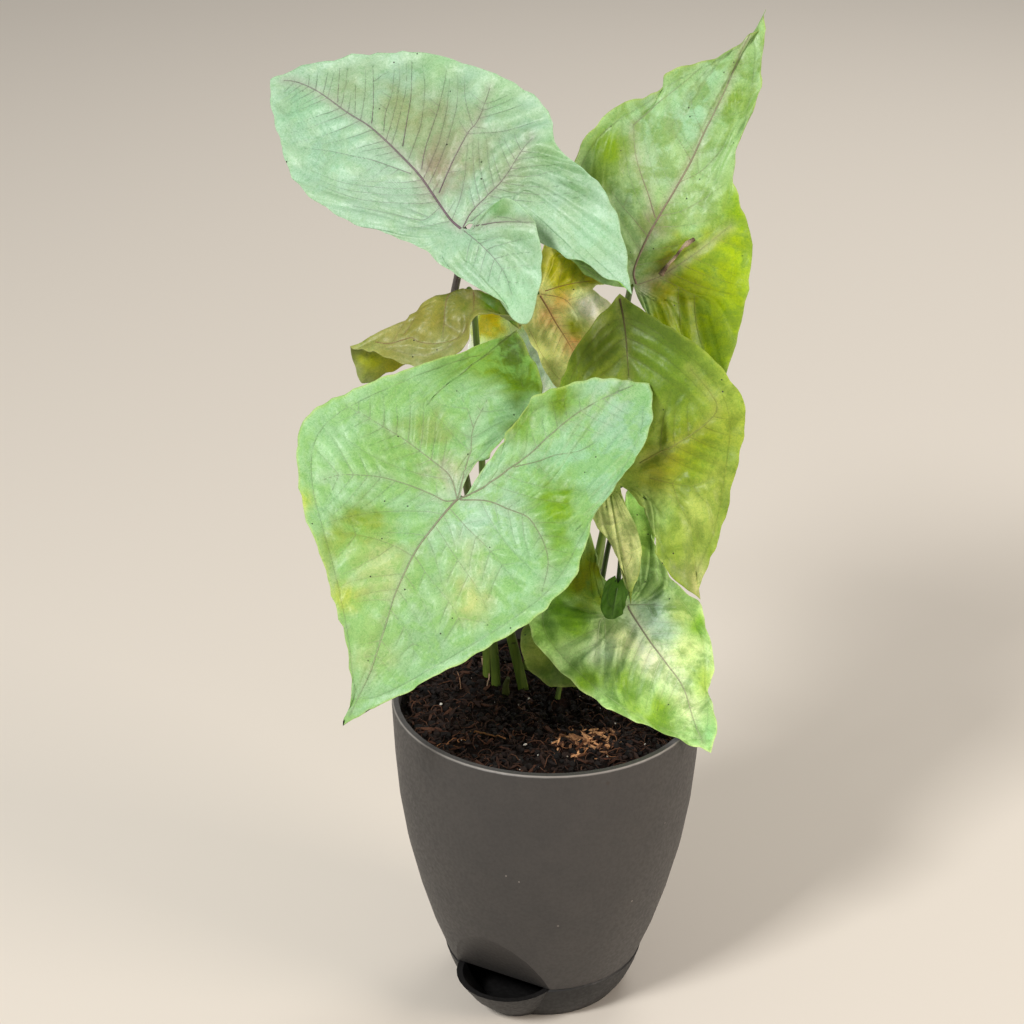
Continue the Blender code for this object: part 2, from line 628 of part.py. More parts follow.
def build_shoot():
    look = material("shoot", (0.30, 0.34, 0.14), 0.5)
    start = SHOOT_ROUTE[0]
    route = smooth_route([(start[0], start[1], start[2] - ROOT_DEPTH / 2)] + SHOOT_ROUTE, 2)
    tube("shoot", route, SHOOT_RADII, look)
    return [(route, SHOOT_RADII[0])]


clear_scene()
build_pot()
build_base()
build_wick()
build_soil(build_leaves() + build_shoot())
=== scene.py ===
"""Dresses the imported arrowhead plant: fine veined leaves, round stalks, loose soil, matt plastic.

Sizes are in millimetres in the row frame and are turned into metres where a mesh is made.
"""

import itertools
import math
import random
from collections import namedtuple

import bpy
import numpy as np
from mathutils import Matrix, Vector, kdtree, noise
from mathutils.bvhtree import BVHTree


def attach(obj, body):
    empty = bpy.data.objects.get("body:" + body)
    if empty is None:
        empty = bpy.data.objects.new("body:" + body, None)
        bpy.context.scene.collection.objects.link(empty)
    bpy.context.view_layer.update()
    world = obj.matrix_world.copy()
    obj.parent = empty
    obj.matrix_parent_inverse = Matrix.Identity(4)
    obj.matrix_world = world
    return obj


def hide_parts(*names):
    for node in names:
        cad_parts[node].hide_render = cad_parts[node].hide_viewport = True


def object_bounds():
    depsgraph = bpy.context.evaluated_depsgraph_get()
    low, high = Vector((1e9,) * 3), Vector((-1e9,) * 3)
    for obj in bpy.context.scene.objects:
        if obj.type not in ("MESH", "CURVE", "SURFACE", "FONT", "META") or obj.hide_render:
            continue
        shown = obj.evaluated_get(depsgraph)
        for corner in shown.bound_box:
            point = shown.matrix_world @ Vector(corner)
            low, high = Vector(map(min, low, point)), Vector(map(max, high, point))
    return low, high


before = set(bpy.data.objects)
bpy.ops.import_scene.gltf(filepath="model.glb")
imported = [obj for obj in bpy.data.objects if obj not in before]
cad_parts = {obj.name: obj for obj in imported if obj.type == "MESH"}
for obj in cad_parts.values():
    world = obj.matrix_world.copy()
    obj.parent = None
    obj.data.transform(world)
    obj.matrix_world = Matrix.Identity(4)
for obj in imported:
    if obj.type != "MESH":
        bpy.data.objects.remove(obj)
CAD_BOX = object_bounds()

MM = 0.001

# The photo's camera: its place, the way it looks, and its focal length in pixels
PHOTO_SIZE = 1024
CAMERA_PLACE = (0.0, -850.0, 622.0)
CAMERA_PITCH = math.radians(26.0)
CAMERA_YAW = math.radians(0.94)
CAMERA_ROLL = math.radians(0.45)
FOCAL_PIXELS = 2532.0
SENSOR = 36.0

# Values shared with the part's source
RIM_RADIUS = 60.0
RIM_HEIGHT = 129.0
SOIL_HEIGHT = 121.0
SOIL_RELIEF = 1.5
SOIL_GRAIN = 0.11
SOIL_RADIUS = 56.8
HUB_RADIUS = 1.6
SEAT_RADIUS = 4.0
NORMAL_PASSES = 6
FULL_LENGTH = 45.0
SETTLE_PASSES = 300
PUFF = 1.6
WAVE = 0.5
WAVE_COUNT = 9
STALK_STEPS = 8
STALK_SEAT = 0.45
STALK_ARRIVAL = 6.0
ROOT_DEPTH = 13.0

# Fineness of the dressed leaves
SETTLED_RAYS = 4
SETTLED_ROWS = 8
FINE_RAYS = 12
FINE_ROWS = 64
LAST_ROW = 0.97
RIM_ROWS = (0.985, 0.992, 0.997, 1.0)
SHEET_THICKNESS = 0.55
RIM_THICKNESS = 0.3
RIM_ROUNDING = 1.5

# Relief: how far the blade bulges between its veins, ripples and crinkles, and the size of each
# wave. HUB_CALM and CRINKLE_CALM are how far from the junction it is half grown.
QUILT = 1.35
QUILT_REACH = 2.4
RIPPLE = 1.0
RIPPLE_SIZE = 13.0
EDGE_RIPPLE = 1.2
EDGE_RIPPLE_SIZE = 8.0
EDGE_REACH = 8.0
HUB_CALM = 8
CRINKLE = 1.1
CRINKLE_SIZE = 5.0
CRINKLE_CALM = 12
CRINKLE_SEEDS = (0.7, 5.2, 9.8)
RIPPLE_SEED = 3.1
EDGE_RIPPLE_SEED = 9.4

# Angle between faces above which an edge of the pot stays sharp
CREASE = math.radians(12.0)

# Veins found by lines of sight: pixels between those of the photo, height from which the others
# are dropped, the gap at which a vein ends, and the fewest points of a vein and of a line
VEIN_STEP = 0.8
PIXEL_STEP = 2.2
DROP_HEIGHT = 80
LONGEST_JUMP = 5 * VEIN_STEP
FEWEST_HITS = 4
FEWEST_POINTS = 5

# Side veins: angles in degrees from the rib, the bend for each mm, the spacing as a share of the
# leaf's own, the most and the fewest points of one and how many by the rib hold no other back,
# and the room that they leave to the margin, to other veins and to other ribs
SIDE_ANGLE = 62.0
SIDE_LEAST_ANGLE = 20
SIDE_BEND = 0.8
SIDE_WOBBLE = 7
SIDE_WOBBLE_SIZE = 7
SIDE_CROWDING = 0.75
THIN_RIB_CROWDING = 1.3
SIDE_LONGEST = 70
SIDE_LEAST_POINTS = 6
SIDE_FREE_POINTS = 4
MARGIN_ROOM = 4.0
VEIN_ROOM = 1.6
RIB_ROOM = 2.5

# The vein inside the margin: rays left out at each end, rays between its points, smoothing passes
MARGIN_VEIN_ENDS = FINE_RAYS + 6
MARGIN_VEIN_RAYS = 4
MARGIN_VEIN_PASSES = 3

# Midrib and lobe veins that the photo doesn't show: how far out they run, how many rows of the
# grid lie between their points, and how strong they are
RULED_REACH = 0.95
RULED_ROWS = 6
RULED_STRENGTH = 0.6

# Half widths of veins, and those from which a vein has a broad ridge and a rib has a halo
MIDRIB_WIDTH = 0.36
LOBE_VEIN_WIDTH = 0.24
SIDE_WIDTH = 0.13
MARGIN_VEIN_WIDTH = 0.11
BROAD_VEIN = 0.2
HALO_VEIN = 0.21

# The ridge of a vein across and up, in half widths, its height on each face, how far and how it
# thins towards its end, its lift, the points of the blade that it rises with, how that is
# smoothed, and how its colour fades along it and on the lower face
BROAD_PROFILE = ((-1, -0.25), (-0.55, 0.6), (0, 0.9), (0.55, 0.6), (1, -0.25))
THIN_PROFILE = ((-1, -0.2), (0, 0.8), (1, -0.2))
UPPER_RIDGE = 0.55
LOWER_RIDGE = 1.1
VEIN_TAPER = 0.7
VEIN_TAPER_POWER = 1.3
VEIN_LIFT = 0.06
RISE_POINTS = 4
RISE_SMOOTHING = (0.3, 0.4, 0.3)
VEIN_FADE = 0.45
LOWER_VEIN_SHARE = 0.3

# Sides and steps of the round pieces and of the loose top of the soil
STALK_SIDES = 20
TWIG_SIDES = 9
STRAW_SIDES = 8
FIBRE_SIDES = 4
FIBRE_STEPS = 8
COVER_RINGS = 120
COVER_STEPS = 280

# The loose top over the source's soil: its lift, its relief, how wide its lumps are and their
# fractal's falloff, step and octaves, and its usual height where lines of sight are to meet it
COVER_LIFT = 0.9
COVER_RELIEF = 1.3
COVER_GRAIN = 6
COVER_FRACTAL = (0.7, 2.1, 5)
SEEN_HEIGHT = SOIL_HEIGHT + 1

# Room that loose bits leave: about a stalk's middle, and to the edge of the soil
STALK_ROOM = 2.4
WALL_ROOM = 0.6
CHIP_WALL_ROOM = 2.5

# How many loose bits of each kind there are, the ranges of their sizes and bends, their lifts
# off the soil, and their darkest and lightest tints
TURN = 6.28
CRUMBS = 1700
CRUMB_SIZES = (0.4, 1.9)
CRUMB_LIFT = 0.2
CRUMB_TINTS = ("060403", "26160e")
FIBRES = 850
FIBRE_LENGTHS = (3, 11)
FIBRE_RADII = (0.10, 0.24)
FIBRE_RISE = 2.0
FIBRE_BEND = 0.5
FIBRE_WOBBLE = 0.25
FIBRE_TINTS = ("120a06", "5c3c2a")
PALE_FIBRE_TINTS = ("4a2c1c", "b07a50")
CHIPS = 420
CHIP_SIZES = (0.8, 2.6)
CHIP_LIFT = 0.6
CHIP_TILT = 0.6
CHIP_TINTS = ("100806", "4c2e1e")
PALE_CHIP_TINTS = ("4a2614", "ecb480")
PERLITE_GRAINS = 45
PERLITE_SIZES = (0.2, 0.55)
PERLITE_TINTS = ("8a8074", "d8d4cc")
TINT_POWER = 1.5

# A lump's stretch in its three directions and how far its corners move. A chip's sides, its
# length, width and thickness, and how far out its corners are.
LUMP_STRETCH = ((0.6, 1.2), (0.6, 1.2), (0.5, 0.9))
LUMP_SWELL = (0.75, 1.2)
CHIP_SIDES = 5
CHIP_SHAPE = (1.9, 0.42, 0.15)
CHIP_CORNERS = (0.6, 1.0)

# Where the photo shows pale and reddish bits, and how far they spread
BRIGHT_PIXEL = (588, 744)
BRIGHT_REACH = 15
BRIGHT_CHIPS = 90
BRIGHT_CHIPS_REACH = 14
REDDISH_PIXEL = (452, 745)
REDDISH_REACH = 9

# Perlite that the photo shows: a pixel and a size, its tint, and how each grain is lifted by a
# distance and a share of its size. Straws: their pixels, a radius and a colour.
PERLITE_SHOWN = (
    ((528.7, 703), 0.9), ((525, 748), 0.8), ((441, 706), 0.8), ((615, 727), 0.7), ((538, 757), 0.5),
    ((520, 772), 0.4), ((470, 700), 0.4), ((560, 720), 0.4), ((580, 700), 0.5), ((645, 745), 0.4))
PERLITE_TINT = "d8d4cc"
SHOWN_LIFT = (0.6, 0.5)
PERLITE_LIFT = (0.5, 0.4)
STRAWS = (
    (((482, 657), (484, 668), (489, 677), (487, 689)), 0.45, "a58c74"),
    (((470, 735), (482, 737), (494, 741), (506, 742)), 0.5, "7a5430"),
    (((452, 665), (458, 676), (461, 690)), 0.3, "8a6a50"))
STRAW_LIFT = 0.8

# The twig on the upper right leaf: its pixels and the step between its points in pixels, its
# knotty radii, its lift, the size of its knobs, and how often its colour changes and its tints,
# lightened as painted light for the shade that it lies in
TWIG_PIXELS = ((660, 275), (668, 264), (676, 256), (683, 247), (694, 239))
TWIG_STEP = 6.0
TWIG_RADII = (1.2, 0.8, 0.55, 0.65, 0.5, 0.6, 1.0, 0.7)
TWIG_LIFT = 0.2
TWIG_KNOBS = 0.25
TWIG_BANDS = 14
TWIG_LIGHTENED_TINTS = ("c4b098", "5c4a3a")

# Colours that the looks lay over a base, as linear shares
LEAF_STROKES = ((0.30, 0.38, 0.27), (0.66, 0.66, 0.62))
LEAF_NET = (1.3, 1.25, 1.3)
LEAF_LINES = (0.55, 0.74, 0.55)
LEAF_SPOTS = (0.02, 0.025, 0.01)
STALK_STREAKS = ((0.30, 0.36, 0.28), (0.64, 0.62, 0.52))
STALK_FLECKS = (0.04, 0.03, 0.015)
LITTER_STREAKS = ((0.25, 0.22, 0.20), (0.70, 0.68, 0.65))
PLASTIC_GRAIN = ((0.35, 0.35, 0.35), (0.65, 0.64, 0.62))

# The soil's dark and light colour and that of its reddish patches. How much longer a stalk's
# streaks are along it than across. Dark and light colour of each plain look.
SOIL_TONES = ("080503", "24160f")
RED_SOIL_TONE = "311a12"
STREAK_SCALE = (1, 1, 0.12)
PLAIN_TONES = {
    "pot": ("383635", "403d3b"), "base": ("100f0f", "161515"),
    "wick": ("b8b09a", "d0c8b4"), "shoot": ("48501f", "5c6430")}

# The painted highlight along the outer edge of the pot's rim: its colour and strength, and how far
# below the top and inside the edge it starts and is full
RIM_HIGHLIGHT_TONE = "9a948e"
RIM_HIGHLIGHT_STRENGTH = 0.8
RIM_HIGHLIGHT_DEPTHS = (0.8, 0.2)
RIM_HIGHLIGHT_INSETS = (0.9, 0.4)

# Points closer than this are one point when the pot and its base are smoothed
WELD_REACH = 0.001

# Shortest length that a direction is divided by
TINY = 1e-9

# Places of the Mix node's share and two colours among its inputs, and of its colour output
MIX_INPUTS = (0, 6, 7)
MIX_OUTPUT = 2

# The studio in metres: a plain floor, and soft lights by place, size, power and tone
FLOOR_REACH = 6
FLOOR_DROP = 0.0002
FLOOR_TONE = (0.74, 0.68, 0.60, 1)
WORLD_TONE = (1, 0.99, 0.97, 1)
WORLD_STRENGTH = 0.30
LIT_PLACE = (0, 0, 0.2)
LIGHTS = {
    "key": ((-0.9, -1.1, 1.5), 0.4, 29, (1, 0.99, 0.97)),
    "fill": ((1.3, -0.6, 0.6), 0.6, 11, (1, 0.88, 0.77)),
    "back": ((0.5, 1.2, 1.3), 0.8, 9, (1, 0.98, 0.95))}

# A leaf's margin is a list of points in its own plane, seen from above with its tip away from
# the junction: (across, along, lift). It starts at the sinus and runs round the blade back to
# it. tip and ribs number the points where the midrib and the two lobe veins end, and pointed
# numbers the corners. The stalk's route is (x, y, z), from the soil up to the junction.
# A folded blade keeps its fold along the midrib, and any other is stretched evenly to its margin.
Leaf = namedtuple(
    "Leaf", "name junction facing pointing tip ribs pointed margin stalk radii folded",
    defaults=(False,))

LEAVES = [
    Leaf("leaf_front", (-32, -34, 229), (0.02, -0.80, 0.60), (-0.43, -0.55, -0.72), 16, (9, 24),
         (9, 16, 24),
         [(0.8, -2.8, 0), (1.2, -8, 0), (0.6, -14, -0.5), (-2, -20, -1.5), (-4, -26, -2.5),
          (-7, -34, -5.5), (-9, -42, -7), (-8.5, -48, -8), (-4.5, -55.5, -10), (10.5, -67, -12),
          (31, -43, -6), (50, -22, -5), (63, -2, -3), (55, 20, 1), (29, 47, 0), (7, 73, -9),
          (2, 90, -16), (-14, 69, -8), (-29, 49, -3), (-44, 25, 1), (-49, 7, 0), (-46, -15, 0),
          (-50, -46, -6), (-46, -65, -10), (-41, -71, -12), (-25, -63, -4), (-13, -52, -1),
          (-6.8, -44, 0.5), (-5.4, -34, 1.5), (-4.4, -26, 1.5), (-3.2, -19, 1), (-2.2, -10.5, 0.5),
          (-1.5, -2.6, 0)],
         [(-9, 15, 121), (-14, 14, 146), (-22, 4, 188), (-28, -13, 215)],
         (2.3, 1.3)),
    Leaf("leaf_upper_left", (-32, -6, 321), (-0.20, -0.72, 0.66), (-0.75, 0.55, 0.38), 12, (4, 20),
         (4, 12),
         [(2.9, -0.6, 0), (7, -8, -2), (13, -22, -4), (17, -38, -8), (20, -59, -14), (33, -46, -6),
          (42, -29, -2), (43, -8, 0), (52, 5, -2), (52, 30, -4), (41, 64, -6), (15, 93, -7),
          (2, 102, -9), (-10, 87, -6), (-23, 63, -4), (-23, 38, -1), (-15, 8, 1), (-15, -9, 1),
          (-13, -25, 0), (-14, -36, -6), (-11, -39, -8), (-1, -38, 0), (13, -28, 8),
          (17, -13, 12), (7, -5, 7), (1.3, -2.8, 1)],
         [(-20, 18, 122), (-22, 20, 146), (-31, 28, 200), (-39, 41, 240), (-38, 42, 270),
          (-35, 28, 291)],
         (1.9, 1.3)),
    Leaf("leaf_upper_right", (30, 42, 283), (0.08, -0.93, 0.36), (0.42, 0.36, 0.83), 11, (3, 16),
         (3, 11, 16),
         [(-1.5, -2.5, 0), (-10, -5, -0.5), (-20, -4, -2), (-30, -1, -5), (-36, 17, -2), (-40, 39, 0),
          (-35, 55, 1), (-22, 70, 0), (-22, 77, -1), (-8, 90, -2), (-1, 101, -5), (1, 115, -10),
          (12, 84, -2), (15, 54, 2), (34, 32, 1), (48, -15, -6), (49, -27, -8), (23, -17, -2), (4, -4, 0)],
         [(14, 27, 122), (20, 36, 170), (26, 50, 230), (28, 55, 264)],
         (1.7, 1.2)),
    Leaf("leaf_middle_right", (26, -4, 221), (-0.02, -0.95, 0.31), (-0.02, 0.31, 0.95), 9, (2, 16),
         (2, 9, 16),
         [(0.5, -3, 0), (8, -24, 2), (3, -44, 5), (-1, -26, 2), (-10, -12, 0.5), (-17, 5, -1),
          (-24, 23, -4), (-20, 43, -3), (-11, 58, -2), (0, 70, -6), (18, 59, 1), (36, 45, 3),
          (46, 26, 2), (42, 4, 0), (38, -15, 0), (32, -33, -3), (29, -43, -6), (23, -38, 0),
          (16, -30, 3), (13, -21, 1), (9, -9, 0.3), (3, -2, 0)],
         [(12, 18, 122), (16, 22, 160), (22, 28, 192), (25, 24, 211), (26, 12, 219)],
         (1.6, 1.2)),
    Leaf("leaf_lower_right", (29, -7, 171), (-0.05, -0.82, 0.57), (0.51, -0.51, -0.69), 10, (2, 18),
         (2, 10, 14),
         [(1, -3, 0), (0, -18, -0.7), (-5, -36, -3), (8, -35, -3), (25, -25, -3), (35, -11, -2),
          (35, -1, -1), (26, 27, -1), (11, 48, -1), (4, 58, -4), (-1, 62, -7), (-8, 55, -3),
          (-12, 42, -2), (-18, 36, -2), (-25, 14, -4), (-21, -1, -1), (-22, -16, -2),
          (-28, -24, -4), (-25, -39, -7), (-16, -27, -3), (-3, -5, 0)],
         [(22, 8, 122), (26, 7, 145)],
         (1.6, 1.2)),
    Leaf("leaf_back_left", (-31, 26, 286), (-0.15, -0.80, 0.58), (-0.89, -0.15, -0.44), 9, (2, 13),
         (2, 9),
         [(-3, -4, 1), (-11, -11, 1), (-22, -11, -4), (-17, -7, 2), (-13, -3, 3), (-13, 2, 3),
          (-20, 12, 2), (-21, 26, 2), (-9, 39, 2), (0, 49, 0), (-3, 51, -8), (-10, 52, -13),
          (-11, 39, -16), (-6, 21, -15), (3, 5, -5)],
         [(-24, 26, 122), (-25, 33, 170), (-27, 38, 230), (-29, 38, 268)],
         (1.6, 1.1), folded=True),
    Leaf("leaf_middle", (-5, 40, 279), (0.10, -0.92, 0.38), (0.40, -0.31, -0.86), 4, (0, 9),
         (4, 9),
         [(4, 0, 0), (10, 7, 0), (9, 21, 0), (8, 35, 0), (0, 49, -4), (-16, 36, -3),
          (-24, 16, -1), (-22, 12, 0), (-20, 5, -3), (-36, 11, -12), (-38, 3, -14), (-25, -10, -9),
          (-12, -16, -6), (-3, -10, -2)],
         [(4, 29, 122), (8, 40, 170), (12, 50, 220), (8, 54, 256)],
         (1.6, 1.1)),
    Leaf("leaf_inner", (-7, 52, 229), (-0.10, -0.87, 0.48), (-0.31, 0.49, 0.82), 5, (0, 10),
         (5,),
         [(2, -4, 0), (9, -2, 0), (12, 4, 0), (12, 20, 0), (8, 37, 0), (0, 45, -6),
          (-12, 39, 0), (-17, 29, 1), (-16, 16, 0), (-9, 3, 0), (-4, -2, 0)],
         [(-8, 31, 122), (-7, 46, 175), (-6, 60, 210)],
         (1.6, 1.1)),
    Leaf("leaf_low", (7, 4, 146), (-0.15, -0.75, 0.65), (-0.30, -0.59, -0.75), 5, (0, 9),
         (5,),
         [(3, -4, 0), (11, -9, -2), (19, -5, -3), (18, 2, -1), (11, 11, -1), (1, 14, -3),
          (-10, 11, -2), (-13, 4, -3), (-9, -5, -3), (-3, -7, -1)],
         [(4, 6, 121), (6, 9, 133)],
         (1.1, 0.9)),
]

YOUNG_BLADE = Leaf(
    "leaf_young", (26, -10, 183), (-0.10, -0.84, 0.54), (-0.16, -0.52, -0.84), 4, (), (),
    [(1.5, -3, 0), (4.5, 0, 0), (5, 6, -2), (4, 11, -3), (0, 13, -3), (-3, 10, -3), (-4, 6, -2),
     (-4, 0, 0), (-1.5, -3, 0)],
    [(16, 14, 122), (19, 16, 155), (23, 14, 188), (25.5, 4, 197.5), (26.9, -3.2, 191.5),
     (26.15, -8.7, 182.2)],
    (1.1, 0.9))


def leaf_axes(leaf):
    """The leaf's own directions: across, along and up out of its upper face."""
    facing = Vector(leaf.facing).normalized()
    along = Vector(leaf.pointing)
    along = (along - facing * along.dot(facing)).normalized()
    return along.cross(facing), along, facing


def unit(vector):
    return vector / np.linalg.norm(vector)


def leaf_margin(leaf, rays_per_point):
    """The margin as a smooth line through its points, with corners kept at the pointed ones."""
    points = np.array(leaf.margin, float)
    last = len(points) - 1
    corners = {0, last, *leaf.pointed}
    line = []
    for number in range(last):
        start, end = points[number], points[number + 1]
        chord = end - start
        length = np.linalg.norm(chord)
        leaving, arriving = chord, chord
        if number not in corners:
            leaving = unit(end - points[number - 1]) * length
        if number + 1 not in corners:
            arriving = unit(points[number + 2] - start) * length
        for step in range(rays_per_point):
            t = step / rays_per_point
            line.append(start + chord * (3 * t ** 2 - 2 * t ** 3)
                        + leaving * (t - 2 * t ** 2 + t ** 3) + arriving * (t ** 3 - t ** 2))
    return np.array(line + [points[last]])


def between_ribs(leaf, places):
    """0 on the midrib and on the lobe veins, and 1 half way between them."""
    stops = sorted({leaf.tip, *leaf.ribs})
    result = np.zeros(len(places))
    for start, end in zip(stops, stops[1:]):
        inside = (places >= start) & (places <= end)
        result[inside] = np.sin(math.pi * (places[inside] - start) / (end - start))
    return result


def hub_angles(leaf, margin, places):
    """Where round the junction each ray of the blade starts: 0 at the tip, and even to each end."""
    bearing = np.unwrap(np.arctan2(margin[:, 0], margin[:, 1]))
    tip = int(np.argmin(abs(places - leaf.tip)))
    bearing -= 2 * math.pi * round(bearing[tip] / (2 * math.pi))
    return np.interp(places, [0, leaf.tip, places[-1]], [bearing[0], 0, bearing[-1]])


def settled(grid, midrib):
    """Evens out a grid inside its edge and midrib so that none of its lines cross.

    Each point moves to where the elliptic grid equation puts it among its eight neighbours.
    """
    free = np.ones(grid.shape[1] - 2, bool)
    free[midrib - 1] = False
    for _ in range(SETTLE_PASSES):
        inner = grid[1:-1, 1:-1]
        out = (grid[2:, 1:-1] - grid[:-2, 1:-1])[..., :2]
        over = (grid[1:-1, 2:] - grid[1:-1, :-2])[..., :2]
        out_size = (out ** 2).sum(-1, keepdims=True)
        over_size = (over ** 2).sum(-1, keepdims=True)
        slant = (out * over).sum(-1, keepdims=True)
        corners = grid[2:, 2:] - grid[2:, :-2] - grid[:-2, 2:] + grid[:-2, :-2]
        target = out_size * (grid[1:-1, 2:] + grid[1:-1, :-2])
        target += over_size * (grid[2:, 1:-1] + grid[:-2, 1:-1]) - slant * corners / 2
        target /= 2 * (out_size + over_size)
        inner[:, free] += (target - inner)[:, free] / 2
    return grid


def sheet_normals(sheet, junction, facing, passes):
    """Directions out of the upper face at each point of a sheet, from the quads round it.

    Close to the junction, where the blade sits on its stalk, they all turn to face one way.
    """
    quads = np.cross(sheet[1:, 1:] - sheet[:-1, :-1], sheet[:-1, 1:] - sheet[1:, :-1])
    normals = np.zeros_like(sheet)
    for down in (slice(None, -1), slice(1, None)):
        for over in (slice(None, -1), slice(1, None)):
            normals[down, over] += quads
    if (normals @ facing).sum() < 0:
        normals = -normals
    normals /= np.linalg.norm(normals, axis=-1, keepdims=True)
    free = np.linalg.norm(sheet - junction, axis=-1, keepdims=True) / SEAT_RADIUS - 1
    free = np.clip(free, 0, 1)
    for _ in range(passes):
        padded = np.pad(normals, ((1, 1), (1, 1), (0, 0)), "edge")
        normals = padded[2:, 1:-1] + padded[:-2, 1:-1] + padded[1:-1, 2:] + padded[1:-1, :-2]
        normals = free * normals / 4 + (1 - free) * facing
        normals /= np.linalg.norm(normals, axis=-1, keepdims=True)
    return normals


def stalk_route(leaf, seated):
    """From inside the soil up to the junction, ending square to the blade if it is seated."""
    first = leaf.stalk[0]
    points = [(first[0], first[1], first[2] - ROOT_DEPTH)] + list(leaf.stalk)
    if not seated:
        return smooth_route(points, STALK_STEPS)
    facing = leaf_axes(leaf)[2]
    points.append(Vector(leaf.junction) - facing * STALK_ARRIVAL)
    return smooth_route(points, STALK_STEPS) + [Vector(leaf.junction) - facing * STALK_SEAT]


def smooth_route(points, steps):
    """A smooth curve through points, steps for each stretch."""
    points = [Vector(point) for point in points]
    ends = [points[0] * 2 - points[1]] + points + [points[-1] * 2 - points[-2]]
    route = []
    for before, start, end, after in zip(ends, ends[1:], ends[2:], ends[3:]):
        for step in range(steps):
            t = step / steps
            route.append(0.5 * (2 * start + (end - before) * t
                                + (2 * before - 5 * start + 4 * end - after) * t ** 2
                                + (3 * start - before - 3 * end + after) * t ** 3))
    return route + [points[-1]]


def colour(code):
    """Linear colour from a six-digit screen colour."""
    shares = [int(code[place:place + 2], 16) / 255 for place in (0, 2, 4)]
    return np.array([s / 12.92 if s <= 0.04045 else ((s + 0.055) / 1.055) ** 2.4 for s in shares])


# How a leaf looks. Veins and patches are placed by pixels of the photo. A vein is its half width
# in mm, its strength and its points, from its root outwards. A patch is a pixel, a radius in mm,
# a colour and a strength, below 0 for the lower face alone. spacing is the distance in mm
# between side veins along a rib, and side is their strength. halo is the colour of the blade
# close to the main veins. gain lightens or darkens all of a leaf's paint, which makes up for
# the light that reaches it.
Dress = namedtuple("Dress", "base rim vein halo fleck fleck_share spacing side veins patches gain",
                   defaults=(1.0,))

